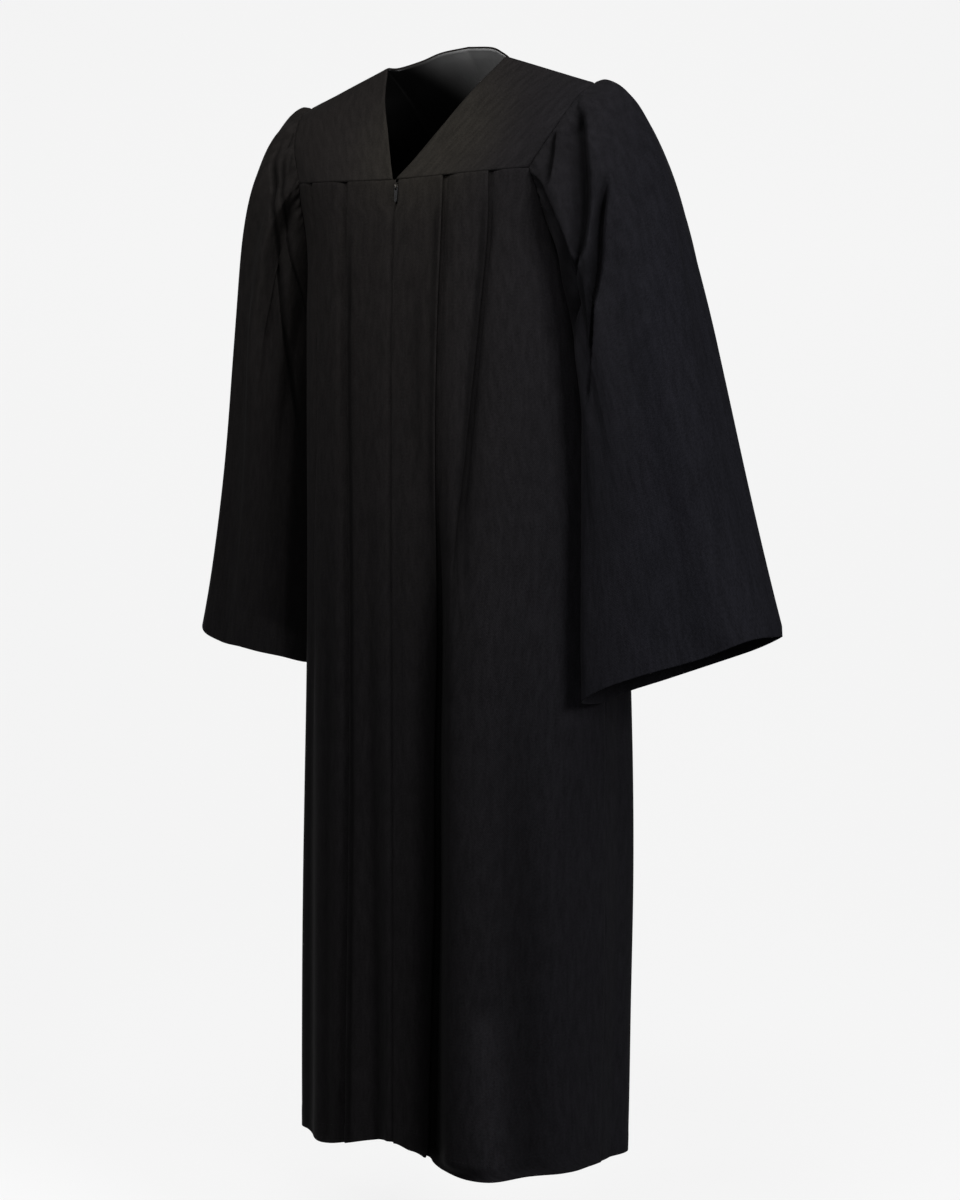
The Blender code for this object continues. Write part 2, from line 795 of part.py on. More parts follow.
def shoulder_normal(side):
    """The direction out of the cloth along the shoulder seam."""
    fall = (0.0 - FRONT_ARM_EDGE[0].height) / (FRONT_ARM_EDGE[0].across - NECK_HALF_WIDTH)
    return unit([side * fall, 0.0, 1.0])


def front_yoke_grid():
    """The left front yoke's outer face and the directions out of it. Rows run neck to armhole."""
    junction = front_junction()
    arm = smooth_curve(edge_points(FRONT_ARM_EDGE) + [tuple(junction)], YOKE_ARM_STEPS + 1)
    height_of = front_height(1)
    across = np.linspace(NECK_EDGE[-1].across, junction[0], YOKE_SEAM_COLUMNS)
    seam = []
    for place in across:
        ring = Ring(height_of(place, 0.0) + SEAM_GAP)
        seam.append(ring.point(ring.place_of_x(place), 0.0))
    seam[-1] = junction
    seam = np.array(seam)
    neck = smooth_curve(edge_points(NECK_EDGE)[:-1] + [tuple(seam[0])], YOKE_ARM_STEPS + 1)
    shoulder = np.linspace(neck[0], arm[0], len(seam))
    grid = coons(shoulder, seam, neck, arm)
    grid[0, :, 1] -= SEAM_GAP / 2
    out = grid_normals(grid)
    out[0] = shoulder_normal(1)
    for column in range(len(seam)):
        ring = Ring(seam[column, 2])
        place = ring.place_of_x(seam[column, 0])
        out[-1, column] = ring.outward(place)
    return grid, out


def back_yoke_grid():
    """The back yoke's outer face and the directions out of it, wearer's right to left."""
    junction = back_junction()
    arm = smooth_curve(edge_points(BACK_ARM_EDGE) + [tuple(junction)], YOKE_ARM_STEPS + 1)
    tip = arm[0]
    neck = smooth_curve(edge_points(BACK_NECK_EDGE), NECK_STEPS)
    shoulder = np.linspace(tip, neck[0], YOKE_SHOULDER_STEPS)
    half = np.vstack([shoulder, neck[1:]])
    top = np.vstack([half, mirrored(half[-2::-1])])
    chord = np.concatenate([[0], np.cumsum(np.linalg.norm(np.diff(half, axis=0), axis=1))])
    seam = []
    for share in chord / chord[-1]:
        ring = Ring(BACK_SEAM + SEAM_GAP / 2)
        start = ring.place_of_y(junction[1])
        seam.append(ring.point(start + (ring.lengths[-1] - start) * share, 0.0))
    seam[0] = junction
    bottom = np.vstack([seam, mirrored(np.array(seam)[-2::-1])])
    ridge = smooth_curve(edge_points(BACK_YOKE_RIDGE), len(half), spacing=chord / chord[-1])
    crest = np.vstack([ridge, mirrored(ridge[-2::-1])])
    grid = coons(crest, bottom, arm, mirrored(arm))
    down = np.linspace(0, 1, len(grid))[:, None]
    grid += (top - crest)[None] * ((1 - down) ** NECK_RISE_FADE)[..., None]
    swell = np.sin(math.pi * down) * np.sin(np.linspace(0, math.pi, grid.shape[1]))[None]
    grid[:, :, 1] += BACK_SWELL * swell
    grid = grid[:, ::-1]
    out = grid_normals(grid)
    if out[len(out) // 2, out.shape[1] // 2, 1] < 0:
        out = -out
    width = grid.shape[1]
    for column in range(YOKE_SHOULDER_STEPS):
        grid[0, column, 1] += SEAM_GAP / 2
        grid[0, width - 1 - column, 1] += SEAM_GAP / 2
        out[0, column] = shoulder_normal(-1)
        out[0, width - 1 - column] = shoulder_normal(1)
    for column in range(width):
        out[-1, column] = unit(out[-1, column] * np.array([1, 1, 0]))
    return grid, out


def armhole_loop(front, back):
    """The left armhole from the shoulder round by the front: points and directions out of the body."""
    points = list(front[0][:, -1])
    outs = list(front[1][:, -1])
    height_of = front_height(1)
    for fall in BODY_ROW_FALLS[1:ARMHOLE_ROW_COUNT]:
        ring, place = front_end(height_of, fall)
        points.append(ring.point(place, 0.0))
        outs.append(ring.outward(place))
    for fall in BODY_ROW_FALLS[ARMHOLE_ROW_COUNT - 2 : 0 : -1]:
        ring = Ring(back_height(fall))
        place = panel_end(ring, fall, "back")
        points.append(ring.point(place, 0.0))
        outs.append(ring.outward(place))
    points.extend(back[0][:0:-1, -1])
    outs.extend(back[1][:0:-1, -1])
    return np.array(points), np.array(outs)


def split_loop(points, parts):
    """Points added on the straight runs of a closed loop."""
    following = np.roll(points, -1, axis=0)
    added = [points + (following - points) * step / parts for step in range(parts)]
    return np.stack(added, axis=1).reshape(-1, 3)


def run_value(column, turn):
    """A column of the sleeve's run table at a turn, round the loop."""
    turns = np.array([row.turn for row in SLEEVE_RUNS] + [1.0])
    values = np.array([getattr(row, column) for row in SLEEVE_RUNS] + [getattr(SLEEVE_RUNS[0], column)])
    return np.interp(turn, turns, values)


def loop_turns(points, low):
    """Each loop point's turn: 0 at the top, 0.5 at the low point, even along each half."""
    closed = np.vstack([points, points[:1]])
    lengths = np.concatenate([[0], np.cumsum(np.linalg.norm(np.diff(closed, axis=0), axis=1))])
    half = lengths[low]
    below = 0.5 * lengths / half
    above = 0.5 + 0.5 * (lengths - half) / (lengths[-1] - half)
    return np.where(lengths <= half, below, above)[:-1]


def sleeve_rise(turn, fall, gather_phase):
    """How far a sleeve's gathers and folds lift it at one place."""
    from_top = min(turn, 1 - turn)
    rise = 0.0
    if from_top < SLEEVE_GATHER_REACH:
        fade = ease((SLEEVE_GATHER_REACH - from_top) / 0.06) * ease(fall / 0.05)
        fade *= math.exp(-((fall / SLEEVE_GATHER_LENGTH) ** 1.3))
        rise += SLEEVE_GATHER_RISE * fade * math.cos(gather_phase)
    for fold in SLEEVE_FOLDS:
        share = (fall - fold.start) / (fold.end - fold.start)
        middle = fold.turn + (fold.end_turn - fold.turn) * min(1.0, max(0.0, share))
        along = ease(share / 0.15) * (1 - ease((share - 0.6) / 0.4) * (fold.end < 1.0))
        away = abs((turn - middle + 0.5) % 1.0 - 0.5)
        rise += fold.rise * along * bump(away, fold.spread)
    return rise


def sleeve(name, side, front, back, material):
    """A bell sleeve: a tube from the armhole to its slanted hem, gathered at its head."""
    loop, outs = armhole_loop(front, back)
    low = int(np.argmin(loop[:, 2])) * 2
    heads = split_loop(loop, 2)
    head_outs = unit(split_loop(outs, 2))
    tangents = unit(np.roll(heads, -1, axis=0) - np.roll(heads, 1, axis=0))
    away = unit(np.cross(tangents, head_outs))
    middle = heads.mean(axis=0)
    if np.sum(away * (heads - middle - np.array([0.2, 0, 0])), axis=1).mean() > 0:
        away = -away
    turns = loop_turns(heads, low)
    hem_points = edge_points(LEFT_SLEEVE_HEM if side > 0 else RIGHT_SLEEVE_HEM)
    hem_low = smooth_curve(hem_points, 241, closed=True)
    low_step = int(np.argmin(np.linalg.norm(hem_low - np.array(hem_points[6]), axis=1))) / 240
    shares = np.where(turns <= 0.5, turns * 2 * low_step, low_step + (turns - 0.5) * 2 * (1 - low_step))
    hems = smooth_curve(hem_points, len(shares), closed=True, spacing=shares)
    starts = np.stack([run_value(key, turns) for key in ("out_across", "out_forward", "out_height")], axis=1)
    ends = np.stack([run_value(key, turns) for key in ("end_across", "end_forward", "end_height")], axis=1)
    starts[:, 1] *= -1
    ends[:, 1] *= -1
    leaving = unit(starts)
    sleeve_outs = unit(np.cross(leaving, tangents))
    if np.sum(sleeve_outs[0] * head_outs[0]) < 0:
        sleeve_outs = -sleeve_outs
    likeness = np.sum(head_outs * sleeve_outs, axis=1, keepdims=True)
    seams = heads + away * SEAM_GAP + head_outs * 0.0006 * np.clip(0.3 - likeness, 0, 1)
    phases = turns * math.pi * SLEEVE_GATHERS / SLEEVE_GATHER_REACH
    grid = []
    for fall in SLEEVE_ROW_FALLS:
        row = (
            seams * (1 - fall) ** 3
            + (seams + starts) * 3 * fall * (1 - fall) ** 2
            + (hems + ends) * 3 * fall**2 * (1 - fall)
            + hems * fall**3
        )
        grid.append(row)
    grid = np.array(grid)
    normals = grid_normals(grid, round_columns=True)
    if np.sum(normals[1, 0] * head_outs[0]) < 0:
        normals = -normals
    for row, fall in enumerate(SLEEVE_ROW_FALLS):
        for column, turn in enumerate(turns):
            grid[row, column] += normals[row, column] * sleeve_rise(turn, fall, phases[column])
    normals = grid_normals(grid, round_columns=True)
    if np.sum(normals[1, 0] * head_outs[0]) < 0:
        normals = -normals
    blend = np.clip(likeness, 0, 1)
    normals[0] = unit(normals[0] + blend * head_outs)
    inner = grid - normals * WALL
    if side < 0:
        grid = mirrored(grid)
        inner = mirrored(inner)
    return wall_object(name, grid, inner, material, round_columns=True)


def yokes(front, back, cloth, lining):
    """The two front yokes, the back yoke and its lining."""
    for name, side in (("front_yoke_left", 1), ("front_yoke_right", -1)):
        outer = front[0]
        inner = outer - front[1] * WALL
        if side < 0:
            outer = mirrored(outer)
            inner = mirrored(inner)
        wall_object(name, outer, inner, cloth)
    outer, out = back
    wall_object("back_yoke", outer, outer - out * WALL, cloth)
    near = outer - out * (WALL + SEAM_GAP)
    far = outer - out * (WALL + SEAM_GAP + LINING_WALL)
    wall_object("back_yoke_lining", near, far, lining)


def zip_tape(material):
    """The closed zip's tape and chain, behind the centre front."""
    outer = []
    inner = []
    height_of = front_height(1)
    top = (TAPE_TOP - YOKE_SEAM_SIDE) / (BACK_HEM - YOKE_SEAM_SIDE)
    end = (TAPE_END - YOKE_SEAM_SIDE) / (BACK_HEM - YOKE_SEAM_SIDE)
    falls = [fall for fall in BODY_ROW_FALLS if top + 0.004 < fall < end - 0.02]
    for fall in [top] + falls + [end]:
        shift = centre_shift(fall)
        level = TAPE_TOP if fall == top else height_of(0.0, fall)
        faces = []
        for depth in (TAPE_DEPTH, TAPE_DEPTH + TAPE_THICKNESS):
            ring = Ring(level)
            places = np.linspace(-TAPE_HALF_WIDTH, TAPE_HALF_WIDTH, 5)
            faces.append([ring.point(place + shift, depth) for place in places])
        outer.append(faces[0])
        inner.append(faces[1])
    return wall_object("zip_tape", np.array(outer), np.array(inner), material)


def front_face(height):
    """Y of the cloth's outer face at the centre front at a height."""
    return Ring(height).point(CENTRE_SHIFT, 0.0)[1]


def zip_slider(material):
    """The slider's body and its bridge, with the round eye that holds the tab's pin."""
    face = front_face(PIN_HEIGHT)
    shape = bmesh.new()
    bmesh.ops.create_cube(shape, size=1.0)
    for vert in shape.verts:
        vert.co.x *= 2 * SLIDER_HALF_WIDTH
        vert.co.y = face + (SLIDER_FRONT if vert.co.y < 0 else SLIDER_BACK)
        vert.co.z = SLIDER_TOP if vert.co.z > 0 else SLIDER_BOTTOM
        vert.co.x += CENTRE_SHIFT
    bmesh.ops.bevel(shape, geom=shape.edges, offset=0.0005, segments=1, affect="EDGES")
    mesh = bpy.data.meshes.new("zip_slider")
    shape.to_mesh(mesh)
    shape.free()
    mesh.materials.append(material)
    body = bpy.data.objects.new("zip_slider", mesh)
    bpy.context.scene.collection.objects.link(body)
    outline = (
        (SLIDER_FRONT + 0.0006, SLIDER_TOP - 0.0006),
        (-0.0004, SLIDER_TOP - 0.0010),
        (-BRIDGE_OUT + 0.0008, PIN_HEIGHT + 0.0022),
        (-BRIDGE_OUT, PIN_HEIGHT + 0.0006),
        (-BRIDGE_OUT, PIN_HEIGHT - 0.0008),
        (-BRIDGE_OUT + 0.0009, PIN_HEIGHT - 0.0018),
        (-0.0002, PIN_HEIGHT - 0.0019),
        (SLIDER_FRONT + 0.0006, SLIDER_BOTTOM + 0.0008),
    )
    bridge = extruded("zip_bridge", outline, face, BRIDGE_HALF_WIDTH)
    circle = [
        (
            -PIN_OUT + EYE_RADIUS * math.cos(2 * math.pi * step / 12),
            PIN_HEIGHT + EYE_RADIUS * math.sin(2 * math.pi * step / 12),
        )
        for step in range(12)
    ]
    eye = extruded("zip_eye", circle, face, 2 * BRIDGE_HALF_WIDTH)
    for helper, operation in ((bridge, "UNION"), (eye, "DIFFERENCE")):
        helper.hide_render = True
        helper.display_type = "WIRE"
        cut = body.modifiers.new(helper.name, "BOOLEAN")
        cut.object = helper
        cut.operation = operation
    return body


def extruded(name, outline, face, half_width):
    """A closed prism across the centre line, from an outline of (depth, height) points."""
    count = len(outline)
    points = []
    for side in (-1, 1):
        points.extend((CENTRE_SHIFT + side * half_width, face + depth, height) for depth, height in outline)
    faces = [tuple(range(count)), tuple(range(2 * count - 1, count - 1, -1))]
    for step in range(count):
        beside = (step + 1) % count
        faces.append((step, step + count, beside + count, beside))
    mesh = bpy.data.meshes.new(name)
    mesh.from_pydata(points, [], faces)
    thing = bpy.data.objects.new(name, mesh)
    bpy.context.scene.collection.objects.link(thing)
    make_outward(thing)
    return thing


def zip_pull(material):
    """The pull tab: a flat plate whose window goes round the bridge. Its origin is on the pin's axis."""
    face = front_face(PIN_HEIGHT)
    outer = (
        (-TAB_HALF_WIDTH, PIN_HALF),
        (TAB_HALF_WIDTH, PIN_HALF),
        (TAB_HALF_WIDTH, -WINDOW_DROP - 0.002),
        (0.0018, -TAB_DROP + 0.002),
        (0.0010, -TAB_DROP),
        (-0.0010, -TAB_DROP),
        (-0.0018, -TAB_DROP + 0.002),
        (-TAB_HALF_WIDTH, -WINDOW_DROP - 0.002),
    )
    inner = (
        (-WINDOW_HALF_WIDTH, -PIN_HALF),
        (WINDOW_HALF_WIDTH, -PIN_HALF),
        (WINDOW_HALF_WIDTH, -WINDOW_DROP),
        (0.0009, -WINDOW_DROP),
        (0.0003, -WINDOW_DROP),
        (-0.0003, -WINDOW_DROP),
        (-0.0009, -WINDOW_DROP),
        (-WINDOW_HALF_WIDTH, -WINDOW_DROP),
    )
    count = len(outer)
    points = []
    for depth in (-PIN_HALF, PIN_HALF):
        for outline in (outer, inner):
            points.extend((across, depth, height) for across, height in outline)
    faces = []
    for step in range(count):
        beside = (step + 1) % count
        front_out, front_in, back_out, back_in = (layer * count for layer in range(4))
        faces.append((front_out + step, front_out + beside, front_in + beside, front_in + step))
        faces.append((back_out + step, back_in + step, back_in + beside, back_out + beside))
        faces.append((front_out + step, back_out + step, back_out + beside, front_out + beside))
        faces.append((front_in + step, front_in + beside, back_in + beside, back_in + step))
    tab = mesh_object("zip_pull", points, faces, material, flat=True)
    make_outward(tab)
    tab.location = (CENTRE_SHIFT, face - PIN_OUT, PIN_HEIGHT)
    tab.rotation_euler.x = -math.atan2(face - front_face(PIN_HEIGHT - TAB_DROP), TAB_DROP)
    return tab


def main():
    """Build every piece."""
    clear_scene()
    cloth = finish("black_gown_cloth", (0.011, 0.010, 0.011), 0.85)
    lining = finish("grey_smooth_lining", (0.030, 0.029, 0.029), 0.55)
    tape = finish("black_zip_tape", (0.010, 0.010, 0.011), 0.80)
    metal = finish("nickel_plated_zinc", (0.55, 0.54, 0.52), 0.30, 1.0)
    enamel = finish("black_enamelled_zinc", (0.012, 0.012, 0.013), 0.35)
    front = front_yoke_grid()
    back = back_yoke_grid()
    yokes(front, back, cloth, lining)
    front_panel("front_left", 1, cloth)
    front_panel("front_right", -1, cloth)
    back_panel(cloth)
    sleeve("sleeve_left", 1, front, back, cloth)
    sleeve("sleeve_right", -1, front, back, cloth)
    zip_tape(tape)
    zip_slider(metal)
    zip_pull(enamel)


main()
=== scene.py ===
"""Graduation gown dressed for the studio: thin cloth shells with their creases, sewing, zip and light.

Metres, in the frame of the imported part: +Z up, the gown faces -Y, the wearer's left is +X.
"""

import logging
import math
from collections.abc import Callable, Sequence
from dataclasses import dataclass, field
from enum import Enum
from typing import Any

import bmesh
import bpy
import numpy as np
from mathutils import Matrix, Vector


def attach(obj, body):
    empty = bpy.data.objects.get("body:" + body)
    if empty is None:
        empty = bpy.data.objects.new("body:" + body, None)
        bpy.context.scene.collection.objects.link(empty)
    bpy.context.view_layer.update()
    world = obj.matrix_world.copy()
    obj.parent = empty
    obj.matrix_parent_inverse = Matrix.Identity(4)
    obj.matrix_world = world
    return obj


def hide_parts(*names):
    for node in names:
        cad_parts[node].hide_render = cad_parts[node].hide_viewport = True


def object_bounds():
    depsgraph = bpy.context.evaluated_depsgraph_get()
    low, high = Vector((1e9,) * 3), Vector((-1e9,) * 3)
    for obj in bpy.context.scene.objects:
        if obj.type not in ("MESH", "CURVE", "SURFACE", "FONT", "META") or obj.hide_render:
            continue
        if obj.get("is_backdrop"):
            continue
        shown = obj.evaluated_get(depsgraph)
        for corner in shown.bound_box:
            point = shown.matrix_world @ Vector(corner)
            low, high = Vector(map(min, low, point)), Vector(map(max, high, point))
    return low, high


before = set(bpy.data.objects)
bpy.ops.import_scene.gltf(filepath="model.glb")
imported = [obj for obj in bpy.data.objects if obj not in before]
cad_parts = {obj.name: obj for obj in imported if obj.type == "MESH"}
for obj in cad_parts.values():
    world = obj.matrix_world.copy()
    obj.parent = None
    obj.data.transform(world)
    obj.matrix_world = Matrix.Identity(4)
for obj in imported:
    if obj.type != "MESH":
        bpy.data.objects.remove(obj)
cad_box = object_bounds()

log = logging.getLogger("gown")

Array = np.ndarray
Point = tuple[float, float, float]

MM = 0.001
SEAM_GAP = 0.02 * MM
WALL_MIDDLE = 0.3 * MM


class Side(Enum):
    """The wearer's side."""

    LEFT = 1.0
    RIGHT = -1.0


class Shape(Enum):
    """The small piece that is repeated along a line."""

    STITCH = "stitch"
    TOOTH = "tooth"


def unit(vectors: Array) -> Array:
    """Vectors scaled to length one along the last axis."""
    return vectors / np.maximum(np.linalg.norm(vectors, axis=-1, keepdims=True), 1e-12)


def ease(value: Array | float) -> Array:
    """A smooth step from 0 to 1."""
    value = np.clip(value, 0.0, 1.0)
    return value * value * (3 - 2 * value)


def bump(distance: Array, spread: Array | float) -> Array:
    """A smooth hill of height one that ends at two spreads from its middle."""
    share = np.clip(np.abs(distance) / (2 * spread), 0, 1)
    return (1 - share * share) ** 2


def table_value(rows: Sequence[Any], key: str, column: str, at: Array | float) -> Array:
    """A column of a table, eased between its rows.

    Args:
        rows: The table, ordered by its key.
        key: Name of the field that orders it.
        column: Name of the field that is read.
        at: Keys to read it at.

    Returns:
        The values at those keys.
    """
    keys = np.array([getattr(row, key) for row in rows])
    values = np.array([getattr(row, column) for row in rows])
    if keys[0] > keys[-1]:
        keys, values = keys[::-1], values[::-1]
    slopes = np.gradient(values, keys)
    at = np.clip(np.asarray(at, float), keys[0], keys[-1])
    cell = np.clip(np.searchsorted(keys, at) - 1, 0, len(keys) - 2)
    step = keys[cell + 1] - keys[cell]
    share = (at - keys[cell]) / step
    return (
        values[cell] * (1 + 2 * share) * (1 - share) ** 2
        + values[cell + 1] * share**2 * (3 - 2 * share)
        + slopes[cell] * step * share * (1 - share) ** 2
        - slopes[cell + 1] * step * share**2 * (1 - share)
    )


def smooth_curve(
    points: Sequence[Sequence[float]], count: int, closed: bool = False, spacing: Array | None = None
) -> Array:
    """Points along a smooth curve through the given ones.

    Args:
        points: The curve's own points, two or three numbers each.
        count: How many points come back, where spacing isn't given.
        closed: Whether the curve is a loop.
        spacing: Shares of the length at which the points lie.

    Returns:
        The points, one row each.
    """
    own = np.asarray(points, float)
    ends = (
        np.vstack([own[-1:], own, own[:2]])
        if closed
        else np.vstack([2 * own[0] - own[1], own, 2 * own[-1] - own[-2]])
    )
    shares = np.linspace(0, 1, 24, endpoint=False)[:, None]
    runs = []
    for start in range(1, len(ends) - 2):
        before, here, there, after = ends[start - 1 : start + 3]
        runs.append(
            here
            + 0.5 * shares * (there - before)
            + shares**2 * (before - 2.5 * here + 2 * there - 0.5 * after)
            + shares**3 * (1.5 * (here - there) + 0.5 * (after - before))
        )
    dense = np.vstack(runs + [own[:1] if closed else own[-1:]])
    lengths = np.concatenate([[0], np.cumsum(np.linalg.norm(np.diff(dense, axis=0), axis=1))])
    wanted = (np.linspace(0, 1, count) if spacing is None else np.asarray(spacing)) * lengths[-1]
    return np.stack([np.interp(wanted, lengths, dense[:, axis]) for axis in range(dense.shape[1])], axis=1)


def value_noise(across: Array, down: Array, cell: tuple[float, float], seed: int) -> Array:
    """Smooth unevenness from -1 to 1 on a lattice of the given cell.

    Args:
        across: First coordinate in metres.
        down: Second coordinate in metres.
        cell: Size of the lattice cell in metres, across and down.
        seed: Seed of the lattice.

    Returns:
        The unevenness at each point.
    """
    lattice = np.random.default_rng(seed).uniform(-1, 1, (97, 97))
    x = across / cell[0] + 31.7
    y = down / cell[1] + 17.3
    i, j = np.floor(x).astype(int), np.floor(y).astype(int)
    u, v = ease(x - i), ease(y - j)
    corner = lambda di, dj: lattice[(i + di) % 97, (j + dj) % 97]
    top = corner(0, 0) * (1 - u) + corner(1, 0) * u
    bottom = corner(0, 1) * (1 - u) + corner(1, 1) * u
    return top * (1 - v) + bottom * v


def grid_normals(grid: Array, round_columns: bool = False) -> Array:
    """The direction out of a grid of points whose rows run down and columns across."""
    across = (
        np.roll(grid, -1, axis=1) - np.roll(grid, 1, axis=1) if round_columns else np.gradient(grid, axis=1)
    )
    return unit(np.cross(np.gradient(grid, axis=0), across))


def offset_path(path: Array, distance: Array | float) -> Array:
    """A path of (place, depth) points moved to its outer side, with mitred turns."""
    steps = unit(np.diff(path, axis=0))
    normals = np.stack([steps[:, 1], -steps[:, 0]], axis=1)
    before = np.vstack([normals[:1], normals])
    after = np.vstack([normals, normals[-1:]])
    middle = unit(before + after)
    stretch = 1 / np.maximum(np.sum(middle * after, axis=1), 0.72)
    return path + middle * (distance * stretch)[:, None]


def dense_path(path: Array, counts: Sequence[int]) -> Array:
    """A smooth path through the points of a section, with a count of steps for each of its stretches."""
    ends = np.vstack([2 * path[0] - path[1], path, 2 * path[-1] - path[-2]])
    knots = np.concatenate([[0], np.cumsum(np.maximum(np.linalg.norm(np.diff(ends, axis=0), axis=1), 1e-5) ** 0.5)])
    runs = []
    for start, count in enumerate(counts, start=1):
        t0, t1, t2, t3 = knots[start - 1 : start + 3]
        p0, p1, p2, p3 = ends[start - 1 : start + 3]
        t = np.linspace(t1, t2, count, endpoint=False)[:, None]
        a1 = (t1 - t) / (t1 - t0) * p0 + (t - t0) / (t1 - t0) * p1
        a2 = (t2 - t) / (t2 - t1) * p1 + (t - t1) / (t2 - t1) * p2
        a3 = (t3 - t) / (t3 - t2) * p2 + (t - t2) / (t3 - t2) * p3
        b1 = (t2 - t) / (t2 - t0) * a1 + (t - t0) / (t2 - t0) * a2
        b2 = (t3 - t) / (t3 - t1) * a2 + (t - t1) / (t3 - t1) * a3
        runs.append((t2 - t) / (t2 - t1) * b1 + (t - t1) / (t2 - t1) * b2)
    return np.vstack(runs + [path[-1:]])


@dataclass(frozen=True)
class Crease:
    """A soft trough, or a ridge where its depth is negative, laid along a few listed points.

    Points are (across, down) in the panel's own coordinates. The steep side is to the right
    of the path and as wide as steep says, the other side falls away over gentle.
    """

    points: tuple[tuple[float, float], ...]
    depth: float
    steep: float
    gentle: float
    start: float = 0.15
    end: float = 0.35
    # Painted shade that the crease lays on the cloth's colour; a negative one is a painted highlight.
    shade: float = 0.3

    def press(self, across: Array, down: Array, scale: tuple[float, float] = (1.0, 1.0)) -> Array:
        """How strongly the crease is felt at each point, from 0 to 1.

        Args:
            across: First coordinate of each point.
            down: Second coordinate of each point.
            scale: Metres for one unit of each coordinate.

        Returns:
            The strength at each point.
        """
        stretch = np.array(scale)
        line = smooth_curve(np.array(self.points) * stretch, 28)
        sunk = np.zeros(np.shape(across))
        x, y = across * stretch[0], down * stretch[1]
        reach = 4 * max(self.steep, self.gentle)
        low, high = line.min(axis=0) - reach, line.max(axis=0) + reach
        near = (x > low[0]) & (x < high[0]) & (y > low[1]) & (y < high[1])
        if not near.any():
            return sunk
        here = np.stack([x[near], y[near]], axis=1)[:, None]
        legs = np.diff(line, axis=0)
        lengths = np.linalg.norm(legs, axis=1)
        share = np.clip(np.sum((here - line[:-1]) * legs, axis=2) / lengths**2, 0, 1)
        away = here - (line[:-1] + share[..., None] * legs)
        distance = np.linalg.norm(away, axis=2)
        best = distance.argmin(axis=1)
        rows = np.arange(len(best))
        run = np.concatenate([[0], np.cumsum(lengths)])
        along = (run[best] + share[rows, best] * lengths[best]) / run[-1]
        side = legs[best, 0] * away[rows, best, 1] - legs[best, 1] * away[rows, best, 0]
        width = np.where(side > 0, self.steep, self.gentle)
        hill = np.exp(-((distance[rows, best] / width) ** 2) * 0.7)
        taper = ease(along / self.start) * ease((1 - along) / self.end)
        sunk[near] = hill * taper
        return sunk


def pressed(
    creases: Sequence[Crease], across: Array, down: Array, scale: tuple[float, float] = (1.0, 1.0), turns: int = 1
) -> tuple[Array, Array]:
    """What a set of creases does to a cloth.

    Args:
        creases: The creases.
        across: First coordinate of each point.
        down: Second coordinate of each point.
        scale: Metres for one unit of each coordinate.
        turns: Two where the first coordinate closes on itself at one.

    Returns:
        How far each point sinks in metres, and its share of painted shade from 0 to 1, which darkens the cloth's
        colour; a negative crease shade lightens it as a painted highlight.
    """
    sunk, shade = np.zeros(np.shape(across)), np.zeros(np.shape(across))
    for crease in creases:
        for turn in range(turns):
            felt = crease.press(across - turn, down, scale)
            sunk += crease.depth * felt
            shade = 1 - (1 - shade) * (1 - crease.shade * felt)
    return sunk, shade


@dataclass(frozen=True)
class Section:
    """One level section of the body: a rounded ring."""

    height: float
    half_width: float
    front: float
    back: float
    squareness: float


